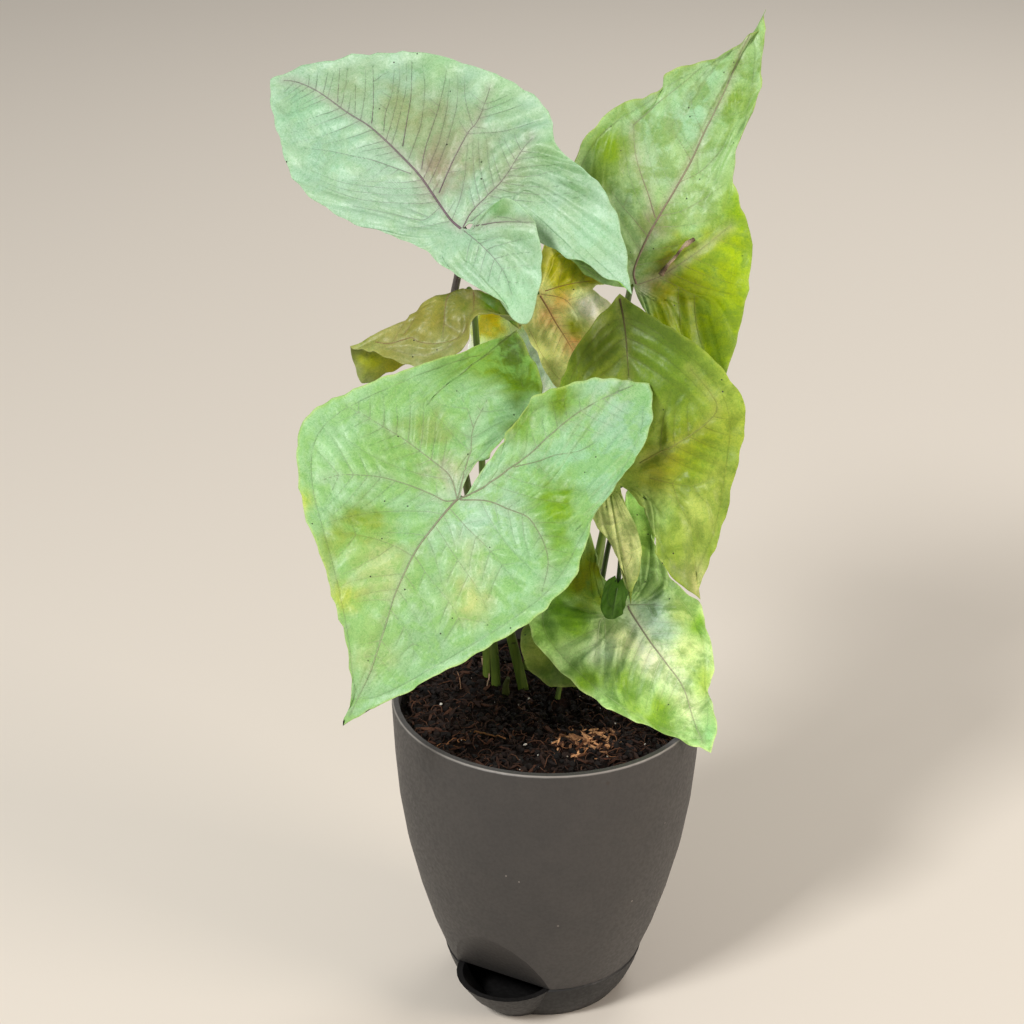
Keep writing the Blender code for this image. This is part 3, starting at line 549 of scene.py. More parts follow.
DRESSES = {
    "leaf_front": Dress(
        "a2d096", "c4da74", "7d7260", "b4cda4", "86b85c", 0.55, 7.0, 0.28,
        [(0.46, 0.9, [(458, 499), (451, 506), (435, 525), (417, 549), (404, 574), (394, 597), (387, 620)]),
         (0.30, 0.45, [(387, 620), (380, 643), (370, 672), (358, 698), (350, 716)]),
         (0.36, 0.8, [(459, 499), (475, 492), (490, 483), (510, 468), (530, 454), (550, 435), (579, 412),
                      (608, 396), (634, 385)]),
         (0.20, 0.7, [(514, 467), (536, 462), (556, 455), (579, 451), (597, 441)]),
         (0.24, 0.8, [(460, 500), (487, 501), (508, 509), (527, 517), (537, 530), (545, 546), (548, 565),
                      (542, 592)]),
         (0.26, 0.75, [(458, 498), (461, 487), (465, 470), (471, 449), (473, 429), (481, 412), (490, 394)]),
         (0.16, 0.6, [(473, 427), (467, 409), (458, 392)]),
         (0.24, 0.65, [(457, 498), (451, 478), (440, 467), (417, 449), (397, 435), (368, 418), (345, 406)]),
         (0.26, 0.7, [(457, 500), (445, 501), (429, 493), (406, 484), (377, 477), (342, 475), (322, 480)]),
         (0.16, 0.35, [(412, 556), (394, 546), (371, 538), (342, 533)]),
         (0.14, 0.3, [(390, 600), (371, 600), (348, 603)]),
         (0.15, 0.55, [(450, 509), (469, 530), (492, 553), (518, 585)]),
         (0.14, 0.4, [(436, 527), (455, 556), (475, 585), (487, 608)]),
         (0.14, 0.4, [(414, 555), (429, 577), (452, 606), (463, 628)]),
         (0.13, 0.3, [(391, 610), (411, 637), (414, 657)])],
        [((503, 350), 15, "6a8c0a", 0.95), ((522, 376), 11, "6c900f", 0.95), ((516, 345), 9, "62820a", 0.95),
         ((478, 362), 7, "86a238", 0.8), ((450, 362), 12, "83ae57", 0.7),
         ((345, 450), 20, "a8d89c", 0.75), ((310, 470), 12, "a6d495", 0.8), ((395, 395), 10, "a0cc86", 0.6),
         ((395, 455), 14, "8fbc5c", 0.6), ((430, 430), 10, "9ab865", 0.7), ((450, 475), 9, "b6bf95", 0.8),
         ((590, 470), 20, "a4d6a8", 0.8), ((622, 405), 15, "aed9b4", 0.9), ((560, 400), 8, "7fa43c", 0.9),
         ((520, 425), 7, "7d9f34", 0.85), ((556, 505), 12, "86b23c", 0.9), ((552, 545), 9, "7fae3a", 0.8),
         ((480, 520), 16, "b4dcb8", 0.85), ((520, 560), 12, "a2d49a", 0.8), ((470, 560), 10, "b9d79b", 0.7),
         ((365, 530), 10, "8fb044", 0.85), ((335, 545), 9, "97b54c", 0.7), ((375, 575), 14, "bcd48c", 0.8),
         ((440, 610), 12, "a3ce8c", 0.8), ((470, 600), 8, "c3d487", 0.8), ((372, 650), 12, "b4d38c", 0.8),
         ((345, 600), 6, "bcd25c", 0.8), ((430, 640), 10, "9ecb92", 0.8), ((303, 500), 4, "c6d04a", 0.9),
         ((325, 570), 4, "c8d44e", 0.9), ((340, 640), 4, "c4d64a", 0.9)],
        gain=0.84),
    "leaf_upper_left": Dress(
        "b0d4b4", "b6deb0", "6b5560", "bfb8ac", "9dbb8c", 0.35, 4.4, 0.42,
        [(0.46, 1.0, [(461, 229), (450, 219), (436, 199), (420, 176), (404, 159), (386, 141), (367, 125),
                      (345, 111), (319, 93), (297, 83), (284, 81)]),
         (0.24, 0.9, [(439, 193), (447, 174), (458, 152), (469, 133), (479, 120), (490, 88)]),
         (0.18, 0.7, [(422, 170), (426, 149), (432, 128), (439, 107), (447, 72)]),
         (0.20, 0.85, [(403, 147), (407, 125), (411, 99), (412, 62)]),
         (0.14, 0.6, [(384, 132), (386, 115), (392, 96), (394, 66)]),
         (0.18, 0.8, [(372, 124), (374, 99), (373, 66)]),
         (0.13, 0.5, [(355, 113), (356, 85)]),
         (0.16, 0.6, [(338, 103), (340, 68)]),
         (0.22, 0.9, [(463, 228), (472, 212), (490, 194), (506, 176), (522, 152), (533, 139)]),
         (0.18, 0.75, [(464, 228), (488, 208), (511, 195), (533, 191), (554, 186), (570, 183)]),
         (0.22, 0.9, [(466, 228), (500, 222), (534, 222), (560, 220), (586, 215), (604, 216)]),
         (0.18, 0.65, [(411, 174), (391, 167), (372, 160), (351, 156), (327, 151), (303, 148)]),
         (0.16, 0.55, [(440, 208), (425, 219), (411, 218), (394, 215), (378, 212), (353, 206)]),
         (0.24, 0.85, [(463, 229), (477, 225), (490, 228), (503, 241), (515, 259), (522, 280)]),
         (0.18, 0.7, [(464, 231), (479, 243), (493, 257), (506, 275), (513, 294)])],
        [((430, 130), 18, "a3b286", 0.8), ((440, 172), 11, "a09a80", 0.9), ((398, 112), 12, "a2b684", 0.8),
         ((350, 92), 10, "a4bc8c", 0.7), ((470, 150), 12, "aabf96", 0.7), ((515, 170), 11, "a4bf90", 0.7),
         ((330, 150), 18, "b2dcba", 0.9), ((380, 185), 14, "b6d8ba", 0.9), ((300, 110), 9, "a6d6ac", 0.8),
         # The darker patch at (500, 210) is painted shade by a fold of the blade
         ((500, 210), 6, "84b476", 0.95), ((518, 232), 7, "9fca9c", 0.7), ((520, 290), 12, "b4e0b8", 0.9),
         ((470, 250), 14, "b0d6b4", 0.8), ((556, 150), 9, "93bd86", 0.8), ((580, 190), 7, "8fba86", 0.8),
         ((600, 235), 9, "aedab4", 0.8), ((440, 65), 10, "a4d09c", 0.8), ((500, 95), 10, "a8d09c", 0.7),
         # The lime patches of the rolled lower face below are lightened further as painted light for the
         # shade they lie in
         ((566, 251), 7, "7cc01c", -1.0), ((590, 263), 7, "7cc01c", -1.0), ((603, 270), 7, "7cc01c", -1.0),
         ((618, 279), 7, "80c024", -1.0)],
        gain=0.82),
    "leaf_upper_right": Dress(
        "9bbf7c", "aebf58", "806a5c", "b8b2a0", "74962e", 0.6, 7.0, 0.3,
        [(0.44, 1.0, [(636, 284), (634, 270), (646, 240), (659, 216), (674, 191), (690, 163), (703, 135),
                      (716, 109), (729, 81), (742, 49), (752, 30)]),
         (0.22, 0.85, [(655, 218), (648, 195), (640, 172), (635, 151), (633, 125)]),
         (0.18, 0.7, [(648, 237), (635, 221), (622, 206), (609, 188)]),
         (0.16, 0.7, [(690, 160), (680, 143), (670, 130)]),
         (0.18, 0.7, [(703, 134), (695, 115), (689, 91)]),
         (0.16, 0.55, [(633, 125), (656, 105), (685, 81), (713, 57)]),
         (0.16, 0.5, [(680, 182), (700, 172), (716, 156), (726, 143)]),
         (0.16, 0.45, [(660, 216), (682, 211), (705, 198), (722, 186)]),
         (0.22, 0.5, [(637, 285), (659, 277), (674, 268), (700, 250), (730, 226)]),
         (0.16, 0.4, [(660, 278), (675, 285), (692, 294), (716, 305)])],
        # The first six yellow-green patches, over the lower right of the blade, are painted light that
        # shines through it
        [((725, 305), 22, "a0bc02", 1.0), ((738, 245), 15, "a0bc04", 1.0), ((722, 345), 14, "9cbc02", 1.0),
         ((700, 330), 12, "9cb808", 1.0), ((690, 270), 13, "9cb410", 0.95), ((672, 300), 10, "94a61c", 0.9),
         ((730, 205), 8, "8fb62e", 0.8), ((655, 285), 6, "a8a44a", 0.9), ((640, 292), 4, "c4cfae", 0.9),
         ((640, 165), 11, "a3bf86", 0.8), ((608, 150), 8, "7ea02f", 0.95), ((600, 175), 7, "86a84a", 0.8),
         ((625, 195), 9, "9abf84", 0.7), ((660, 165), 10, "a9cc9c", 0.8), ((690, 115), 11, "a2cda0", 0.9),
         ((675, 68), 7, "7f9f4c", 0.9), ((715, 85), 10, "9fca98", 0.9), ((735, 100), 8, "88ac48", 0.9),
         ((650, 120), 9, "9cc492", 0.7), ((745, 60), 8, "96bc78", 0.9), ((700, 200), 9, "a9c98c", 0.8),
         ((655, 225), 6, "a8ab86", 0.9), ((668, 262), 6, "8f9430", 0.8)],
        gain=0.98),
    "leaf_middle_right": Dress(
        "869e34", "a3b442", "5a4a2c", "a6ab58", "5a7410", 0.45, 8.0, 0.3,
        [(0.40, 1.0, [(620, 299), (624, 321), (627, 348), (629, 378)]),
         (0.26, 0.35, [(640, 463), (660, 452), (673, 446), (703, 426), (717, 409), (710, 392), (690, 368)]),
         (0.18, 0.3, [(650, 478), (675, 484), (696, 485), (724, 470)])],
        [((596, 345), 12, "6a7e09", 0.95), ((606, 318), 8, "7d9020", 0.8), ((660, 345), 17, "65801a", 0.9),
         ((642, 380), 12, "6f8a20", 0.8), ((640, 320), 9, "71892a", 0.8), ((600, 380), 10, "8ea02c", 0.8),
         ((690, 385), 13, "718f24", 0.8), ((724, 400), 10, "98ae3c", 0.9), ((737, 430), 8, "9cae38", 0.9),
         ((690, 440), 11, "889b12", 0.8), ((665, 465), 10, "929a1e", 0.9), ((700, 480), 9, "809a10", 0.8),
         ((722, 480), 8, "a6b848", 0.8), ((690, 515), 12, "a8ba55", 0.9), ((670, 520), 6, "8aa63a", 0.8),
         # The last three patches, on the pale ribbon, are partly its own colour and partly painted light for
         # the shade that it lies in
         ((695, 545), 8, "98b044", 0.8), ((698, 580), 8, "c0c67c", 0.9), ((615, 520), 10, "e0ee98", 1.0),
         ((622, 560), 11, "e4f09c", 1.0), ((633, 590), 8, "e4f0a0", 1.0), ((650, 515), 7, "a8c86c", 0.9)]),
    "leaf_lower_right": Dress(
        "a4c67e", "c4d88c", "7f7468", "cfdcae", "5f8a2c", 0.6, 7.0, 0.3,
        [(0.38, 0.95, [(628, 606), (632, 614), (649, 640), (666, 663), (683, 687), (693, 718), (702, 742)]),
         (0.22, 0.3, [(622, 608), (602, 619), (598, 636), (595, 660)]),
         (0.16, 0.7, [(628, 605), (649, 605), (669, 607)])],
        [((655, 655), 8, "d4e2b4", 1.0), ((675, 680), 7, "c2d8a0", 0.9), ((690, 705), 6, "c8dc9c", 0.9),
         ((640, 625), 8, "b4ccb0", 1.0), ((665, 630), 8, "a9c6a4", 0.9), ((655, 612), 7, "a6c4a8", 0.9),
         ((620, 640), 7, "c6d898", 0.9), ((598, 655), 7, "b4d4a4", 0.9), ((575, 620), 9, "7fa83c", 0.95),
         ((545, 635), 7, "8fb85a", 0.9), ((588, 680), 8, "7ea636", 0.9), ((620, 690), 9, "86ac3e", 0.9),
         ((655, 715), 8, "86aa3a", 0.9), ((640, 735), 6, "a8ca78", 0.9), ((605, 700), 6, "a4cc80", 0.8),
         ((690, 650), 7, "c2d68c", 0.9), ((705, 680), 6, "a2c05a", 0.9), ((700, 625), 6, "7da83c", 0.95),
         ((680, 612), 6, "a4bc6c", 0.9), ((706, 735), 6, "8fc07a", 0.9), ((585, 585), 8, "7d8c0c", 1.0),
         ((596, 560), 7, "828f14", 1.0), ((604, 600), 6, "86a040", 0.9), ((632, 500), 12, "a8d878", 0.9),
         ((645, 540), 8, "a0c460", 0.9), ((560, 605), 6, "76a03a", 0.9)],
        gain=1.3),
    "leaf_back_left": Dress(
        "a09c52", "b0b060", "83603e", "a89858", "868430", 0.5, 6.0, 0.35,
        [(0.22, 0.8, [(473, 285), (474, 298), (474, 312)]),
         (0.18, 0.7, [(462, 288), (448, 297), (444, 323), (443, 339)]),
         (0.20, 0.8, [(376, 343), (390, 344), (403, 340), (412, 338), (419, 342), (435, 344), (453, 340),
                      (464, 332), (471, 319)]),
         (0.14, 0.6, [(404, 335), (415, 319), (421, 307), (437, 294)])],
        [((368, 345), 8, "aeb668", 0.9), ((392, 332), 8, "a8a35c", 0.8), ((430, 318), 10, "97903c", 0.8),
         ((455, 300), 9, "7c8030", 0.9), ((470, 340), 8, "9c9c48", 0.8), ((440, 352), 8, "a3a868", 0.8),
         ((410, 358), 7, "b0b47c", 0.8), ((490, 300), 7, "6f8a1c", 1.0), ((508, 312), 7, "5c8205", 1.0),
         ((376, 362), 7, "787c08", 1.0), ((395, 368), 6, "706f06", 1.0)],
        gain=0.88),
    "leaf_middle": Dress(
        "b0b472", "c3c888", "8f5a3c", "c8a06c", "8f9030", 0.4, 5.0, 0.4,
        [(0.34, 0.9, [(539, 294), (547, 307), (556, 323), (565, 337), (574, 352)]),
         (0.18, 0.7, [(541, 294), (561, 298), (572, 307), (581, 323)]),
         (0.20, 0.9, [(545, 291), (570, 284), (592, 281), (610, 282)])],
        [((550, 318), 5, "c49a5c", 0.9), ((571, 345), 5, "cf9a62", 0.9), ((575, 326), 5, "7f8420", 1.0),
         ((562, 300), 5, "b89c5a", 0.9), ((592, 305), 8, "bccaa2", 1.0), ((545, 345), 8, "b8b870", 0.9),
         ((563, 268), 11, "98981c", 1.0), ((590, 276), 6, "98922c", 1.0), ((604, 288), 4, "b2a88e", 0.9)],
        gain=2.1),
    "leaf_inner": Dress(
        "a6d2a4", "b4dcac", "88a070", "b0ccac", "92b06a", 0.3, 6.0, 0.2, [],
        [((492, 323), 10, "a8a434", 1.0), ((535, 365), 10, "a2dcb0", 0.9)], gain=2.3),
    "leaf_low": Dress(
        "7f9440", "b8bc68", "7f9048", "90a458", "566c22", 0.5, 0.0, 0.0, [],
        [((552, 668), 7, "566c22", 0.8), ((535, 655), 6, "9aa34c", 0.8)], gain=1.3),
    "leaf_young": Dress("477016", "36580e", "2c480e", "4a7418", "3c6012", 0.3, 3.0, 0.5, [], [], gain=1.2),
}

# Paint: the lower face's tint and gains, where the gain of its patches is painted light for the
# shade that the lower face lies in, the coarse and the fine wobble, how patches fade out in shares
# of their radius, and how far, in mm, and how strongly the halo of a rib, the rim and the painted
# shade by the veins with painted light on the hills between them show
UNDER_TINT = "8fa86a"
UNDER_SHARE = 0.5
# Painted light: patches on the lower face are lightened this much for the shade that it lies in
UNDER_PAINTED_LIGHT = 2.6
UNDER_PATCH = 0.4
CONTRAST = 1.25
WOBBLE_SIZE = 7.0
FINE_WOBBLE = 0.6
FINE_WOBBLE_SIZE = 2.6
FINE_WOBBLE_SEED = 7.7
PATCH_WOBBLE = 0.4
PATCH_END = 1.5
PATCH_FADE = 1.1
PATCH_POWER = 1.4
HALO_SHARE = 0.42
HALO_REACH = 2.2
RIM_SHARE = 0.6
RIM_REACH = 0.8
WOBBLE_SHARE = 0.09
# Painted shade darkens the valleys by the veins, and painted light brightens the hills between them
VALLEY_PAINTED_SHADE = 0.93
HILL_PAINTED_LIGHT = 0.15
HILL_REACH = 2.0


def camera_axes():
    """The camera's right, up and forward directions."""
    forward = Vector((-math.sin(CAMERA_YAW) * math.cos(CAMERA_PITCH),
                      math.cos(CAMERA_YAW) * math.cos(CAMERA_PITCH), -math.sin(CAMERA_PITCH)))
    level = Vector((math.cos(CAMERA_YAW), math.sin(CAMERA_YAW), 0))
    rise = level.cross(forward)
    right = level * math.cos(CAMERA_ROLL) + rise * math.sin(CAMERA_ROLL)
    up = rise * math.cos(CAMERA_ROLL) - level * math.sin(CAMERA_ROLL)
    return right, up, forward


def sight(pixel):
    """The direction from the camera through a pixel of the photo."""
    right, up, forward = camera_axes()
    half = PHOTO_SIZE / 2
    ahead = forward * FOCAL_PIXELS
    return (ahead + right * (pixel[0] - half) - up * (pixel[1] - half)).normalized()


def new_object(name, data):
    """An object in the scene with this data."""
    made = bpy.data.objects.new(name, data)
    bpy.context.scene.collection.objects.link(made)
    return made


def make_camera():
    data = bpy.data.cameras.new("camera")
    data.sensor_width = SENSOR
    data.lens = FOCAL_PIXELS * SENSOR / PHOTO_SIZE
    item = new_object("camera", data)
    right, up, forward = camera_axes()
    turn = Matrix((right, up, -forward)).transposed().to_4x4()
    item.matrix_world = Matrix.Translation(Vector(CAMERA_PLACE) * MM) @ turn
    bpy.context.scene.camera = item


def node(tree, kind, inputs=None, **settings):
    """A shader node with its settings, and its inputs as values or as links."""
    made = tree.nodes.new("ShaderNode" + kind)
    for name, value in settings.items():
        setattr(made, name, value)
    for name, value in (inputs or {}).items():
        if isinstance(value, bpy.types.NodeSocket):
            tree.links.new(value, made.inputs[name])
        else:
            made.inputs[name].default_value = value
    return made


def blend(tree, share, first, second, kind="MIX"):
    """Colour that goes from first to second with share."""
    made = tree.nodes.new("ShaderNodeMix")
    made.data_type = "RGBA"
    made.blend_type = kind
    for place, value in zip(MIX_INPUTS, (share, first, second)):
        if isinstance(value, bpy.types.NodeSocket):
            tree.links.new(value, made.inputs[place])
        else:
            made.inputs[place].default_value = (*value, 1.0) if place else value
    return made.outputs[MIX_OUTPUT]


def overlay(tree, base, tone, ends, share):
    """Base, darkened and lightened with share by a tone that runs between two end colours."""
    return blend(tree, share, base, blend(tree, tone, *ends), "OVERLAY")


def times(tree, first, second):
    return node(tree, "Math", {0: first, 1: second}, operation="MULTIPLY").outputs[0]


def fade(tree, value, low, high, start=0.0, end=1.0):
    """Value turned smoothly from start to end between low and high."""
    made = node(tree, "MapRange", {"Value": value, "From Min": low, "From Max": high,
                                   "To Min": start, "To Max": end}, interpolation_type="SMOOTHSTEP")
    return made.outputs["Result"]


def new_look(name, roughness):
    look = bpy.data.materials.new(name)
    look.use_nodes = True
    shader = look.node_tree.nodes["Principled BSDF"]
    shader.inputs["Roughness"].default_value = roughness
    return look, look.node_tree, shader


def painted(tree):
    """The tint that the points of a mesh carry."""
    return node(tree, "Attribute", attribute_name="tint").outputs["Color"]


def bump(tree, shader, height, distance, strength=1.0):
    made = node(tree, "Bump", {"Height": height, "Distance": distance * MM, "Strength": strength})
    tree.links.new(made.outputs["Normal"], shader.inputs["Normal"])


def object_place(tree):
    return node(tree, "TexCoord").outputs["Object"]


def grain(tree, size, detail=3.0, **inputs):
    """Noise whose lumps are about size mm across, from the place on the object."""
    values = {"Vector": object_place(tree), "Scale": 1 / (size * MM), "Detail": detail}
    values.update(inputs)
    return node(tree, "TexNoise", values).outputs["Fac"]


def cells(tree, size, feature, **inputs):
    values = {"Vector": object_place(tree), "Scale": 1 / (size * MM)}
    values.update(inputs)
    return node(tree, "TexVoronoi", values, feature=feature)


def wavy_place(tree, size, amount):
    """The place on the object, pushed about by noise so that cells there get bent sides."""
    push = node(tree, "TexNoise", {"Vector": object_place(tree), "Scale": 1 / (size * MM)})
    centred = node(tree, "VectorMath", {0: push.outputs["Color"], 1: (0.5, 0.5, 0.5)},
                   operation="SUBTRACT").outputs[0]
    scaled = node(tree, "VectorMath", {0: centred, "Scale": amount * MM},
                  operation="SCALE").outputs[0]
    return node(tree, "VectorMath", {0: object_place(tree), 1: scaled}, operation="ADD").outputs[0]


def contour_lines(tree):
    """Fine dark lines where a warped noise crosses its middle value."""
    warped = grain(tree, size=2.8, detail=1.0, Distortion=1.8)
    level = node(tree, "Math", {0: warped, 1: 0.5}, operation="SUBTRACT").outputs[0]
    line = node(tree, "Math", {0: level}, operation="ABSOLUTE").outputs[0]
    return fade(tree, line, low=0.012, high=0.05, start=0.45, end=0.0)


def dark_spots(tree):
    """Small round spots in about a fifth of the cells."""
    spots = cells(tree, size=4.2, feature="F1")
    near = fade(tree, spots.outputs["Distance"], low=0.055, high=0.10, start=1.0, end=0.0)
    shade = node(tree, "SeparateColor", {"Color": spots.outputs["Color"]}).outputs[0]
    return times(tree, near, fade(tree, shade, low=0.80, high=0.82))


def leaf_look():
    """Live leaf: the painted tint, mottled with the fleck colour, netted with fine veins."""
    look, tree, shader = new_look("leaf", roughness=0.5)
    shader.inputs["Specular IOR Level"].default_value = 0.4
    fleck = node(tree, "Attribute", attribute_name="fleck").outputs
    cloud = grain(tree, size=9, detail=7.0, Roughness=0.6, Distortion=0.5)
    cloud = fade(tree, cloud, low=0.44, high=0.62)
    base = blend(tree, times(tree, cloud, fleck["Alpha"]), painted(tree), fleck["Color"])
    stroke = fade(tree, grain(tree, size=1.5, detail=5.0, Distortion=2.2), low=0.34, high=0.66)
    base = overlay(tree, base, stroke, LEAF_STROKES, share=0.22)
    bent = wavy_place(tree, size=2.0, amount=2.4)
    net = cells(tree, size=2.3, feature="DISTANCE_TO_EDGE", Vector=bent).outputs["Distance"]
    cords = fade(tree, net, low=0.0, high=0.07, start=0.35, end=0.0)
    base = blend(tree, cords, base, LEAF_NET, "MULTIPLY")
    base = blend(tree, contour_lines(tree), base, LEAF_LINES, "MULTIPLY")
    base = blend(tree, dark_spots(tree), base, LEAF_SPOTS)
    tree.links.new(base, shader.inputs["Base Color"])
    gloss = fade(tree, grain(tree, size=2.0, detail=3.0), low=0.3, high=0.7, start=0.38, end=0.54)
    tree.links.new(gloss, shader.inputs["Roughness"])
    pores = grain(tree, size=1.1, detail=4.0)
    rough = node(tree, "Math", {0: net, 1: pores}, operation="ADD").outputs[0]
    bump(tree, shader, rough, distance=0.14, strength=0.6)
    return look


def spread(values, old, new):
    """Values given at the sorted places old, smoothly filled in at the places new, along axis 0."""
    after = np.clip(np.searchsorted(old, new, side="right"), 1, len(old) - 1)
    t = (new - old[after - 1]) / (old[after] - old[after - 1])
    t = t.reshape(-1, *[1] * (values.ndim - 1))
    padded = np.concatenate([[2 * values[0] - values[1]], values, [2 * values[-1] - values[-2]]])
    before, start, end, beyond = (padded[after + step] for step in (-1, 0, 1, 2))
    return 0.5 * (2 * start + (end - before) * t
                  + (2 * before - 5 * start + 4 * end - beyond) * t ** 2
                  + (3 * start - before - 3 * end + beyond) * t ** 3)


def crinkled(margin):
    """The margin with its small uneven waves, which die out towards the junction."""
    free = np.clip(np.linalg.norm(margin, axis=1) / CRINKLE_CALM - 0.5, 0, 1)[:, None]
    push = [[noise.noise(Vector((*place / CRINKLE_SIZE, seed))) for seed in CRINKLE_SEEDS]
            for place in margin[:, :2]]
    return margin + free * CRINKLE * np.array(push)


def fine_plan(leaf):
    """The blade's middle surface in its own plane: the settled grid, filled in finely."""
    margin = leaf_margin(leaf, SETTLED_RAYS)
    places = np.arange(len(margin)) / SETTLED_RAYS
    angle = hub_angles(leaf, margin, places)
    start = np.stack([np.sin(angle), np.cos(angle), 0 * angle], -1)
    length = np.linalg.norm(margin[:, :2], axis=1)
    rows = np.arange(SETTLED_ROWS + 1) / SETTLED_ROWS
    out = rows[:, None, None]
    bend = start * length[:, None] / 2
    grid = (1 - out) ** 2 * HUB_RADIUS * start + 2 * out * (1 - out) * bend + out ** 2 * margin
    if not leaf.folded:
        grid = settled(grid, leaf.tip * SETTLED_RAYS)
    fine_margin = crinkled(leaf_margin(leaf, FINE_RAYS))
    fine_places = np.arange(len(fine_margin)) / FINE_RAYS
    fine_rows = np.concatenate([np.linspace(0, LAST_ROW, FINE_ROWS - len(RIM_ROWS)), RIM_ROWS])
    grid = spread(grid, rows, fine_rows)
    grid = spread(grid.swapaxes(0, 1), places, fine_places).swapaxes(0, 1)
    grid += (fine_margin - grid[-1]) * fine_rows[:, None, None] ** 2
    return grid, fine_places, fine_rows


def fine_sheet(leaf):
    """The same surface with the source's puff and wave, in the row frame."""
    grid, places, rows = fine_plan(leaf)
    length = np.linalg.norm(grid[-1, :, :2], axis=1)
    size = np.minimum(1, length / FULL_LENGTH)
    out = rows[:, None]
    grid[..., 2] += PUFF * size * between_ribs(leaf, places) * 4 * out ** 2 * (1 - out)
    grid[..., 2] += WAVE * size * np.sin(2 * math.pi * WAVE_COUNT * places / places[-1]) * out ** 3
    return np.array(leaf.junction, float) + grid @ np.array(leaf_axes(leaf))


# A blade ready to be drawn on: its middle surface, the directions out of its upper face, half
# its thickness at each point, and its tree for lines of sight
Blade = namedtuple("Blade", "leaf axes junction sheet normals half tree")

# A vein on a blade: its half width, its strength, its points and the directions out of the blade
Vein = namedtuple("Vein", "width strength points ups half")


def grid_quads(rows, count):
    """The squares between neighbouring points of a grid with count points in each row."""
    quads = []
    for row in range(rows - 1):
        for step in range(count - 1):
            near = row * count + step
            quads.append((near, near + 1, near + count + 1, near + count))
    return quads


def ring_quads(rings, count, first=0):
    """The squares between neighbouring closed rings of count points, numbered from first."""
    quads = []
    for ring in range(rings - 1):
        for step in range(count):
            start, after = first + ring * count, (step + 1) % count
            quads.append((start + step, start + after, start + count + after, start + count + step))
    return quads


def facing_out(leaf, faces):
    """The faces as given, or turned over for a leaf whose margin runs the other way round."""
    x, y, _ = np.array(leaf.margin, float).T
    turns_left = (x * np.roll(y, -1) - np.roll(x, -1) * y).sum() > 0
    return [face[::-1] for face in faces] if turns_left else faces


def make_blade(leaf):
    sheet = fine_sheet(leaf)
    axes = np.array(leaf_axes(leaf))
    junction = np.array(leaf.junction, float)
    normals = sheet_normals(sheet, junction, axes[2], 0 if leaf.folded else NORMAL_PASSES)
    edge = np.linalg.norm(sheet - sheet[-1], axis=-1)
    swell = 1 - np.exp(-edge / RIM_ROUNDING)
    half = RIM_THICKNESS / 2 + (SHEET_THICKNESS - RIM_THICKNESS) / 2 * swell
    rows, rays = sheet.shape[:2]
    fan = [(rows * rays, ray + 1, ray) for ray in range(rays - 1)]
    points = sheet.reshape(-1, 3).tolist() + [junction.tolist()]
    tree = BVHTree.FromPolygons(points, facing_out(leaf, grid_quads(rows, rays) + fan))
    return Blade(leaf, axes, junction, sheet, normals, half, tree)


def meet(blade, start, direction):
    """Where a line of sight meets a blade.

    It gives the point, the direction out of the upper face, half the thickness, and whether the
    line meets the upper face.
    """
    point, square, index, _ = blade.tree.ray_cast(Vector(start), Vector(direction))
    if point is None:
        return None
    above = square.dot(Vector(direction)) < 0
    row, ray = divmod(index, blade.sheet.shape[1] - 1)
    if row >= blade.sheet.shape[0] - 1:
        return np.array(point), blade.axes[2], SHEET_THICKNESS / 2, above
    up = blade.normals[row:row + 2, ray:ray + 2].sum((0, 1))
    return np.array(point), unit(up), blade.half[row, ray], above


def vein_on(blade, width, strength, starts, directions):
    """The vein where a run of lines of sight meets the blade, or None if too few do."""
    found = []
    for start, direction in zip(starts, directions):
        hit = meet(blade, start, direction)
        if hit is None or (found and np.linalg.norm(hit[0] - found[-1][0]) > LONGEST_JUMP):
            if found:
                break
            continue
        found.append(hit)
    if len(found) < FEWEST_HITS:
        return None
    points, ups, half, _ = (np.array(values) for values in zip(*found))
    return Vein(width, strength, points, ups, half)


def along_line(points, step):
    """A smooth line through a few points, with a point for each step of its length."""
    points = np.array(points, float)
    length = np.linalg.norm(np.diff(points, axis=0), axis=1).sum()
    count = max(FEWEST_POINTS, int(length / step))
    if len(points) < 3:
        share = np.linspace(0, 1, count)[:, None]
        return points[0] * (1 - share) + points[-1] * share
    old = np.arange(len(points), dtype=float)
    return spread(points, old, np.linspace(0, len(points) - 1, count))


def placed_vein(blade, width, strength, pixels):
    """A vein that the photo shows, dropped onto the blade along the camera's lines of sight."""
    line = along_line(pixels, PIXEL_STEP)
    sights = [sight(pixel) for pixel in line]
    return vein_on(blade, width, strength, [CAMERA_PLACE] * len(line), sights)


def plan_vein(blade, width, strength, plan):
    """A vein drawn in the leaf's own plane, dropped straight down onto the blade."""
    across, along, facing = blade.axes
    above = blade.junction + DROP_HEIGHT * facing
    starts = [above + place[0] * across + place[1] * along for place in plan]
    return vein_on(blade, width, strength, starts, [-facing] * len(starts))


def in_plan(blade, points):
    return ((points - blade.junction) @ blade.axes.T)[..., :2]


def ruled_ribs(blade):
    """Midrib and lobe veins for a leaf whose own the photo doesn't show, straight down its grid."""
    leaf = blade.leaf
    ribs = []
    for stop in sorted({leaf.tip, *leaf.ribs}):
        if 0 < stop < len(leaf.margin) - 1:
            line = in_plan(blade, blade.sheet[:int(RULED_REACH * FINE_ROWS), stop * FINE_RAYS])
            width = MIDRIB_WIDTH if stop == leaf.tip else LOBE_VEIN_WIDTH
            line = along_line(line[::RULED_ROWS], VEIN_STEP)
            ribs.append(plan_vein(blade, width, RULED_STRENGTH, line))
    return [rib for rib in ribs if rib]


def nearest(points, place):
    if not len(points):
        return math.inf
    return float(np.sqrt(((points - place) ** 2).sum(-1).min()))


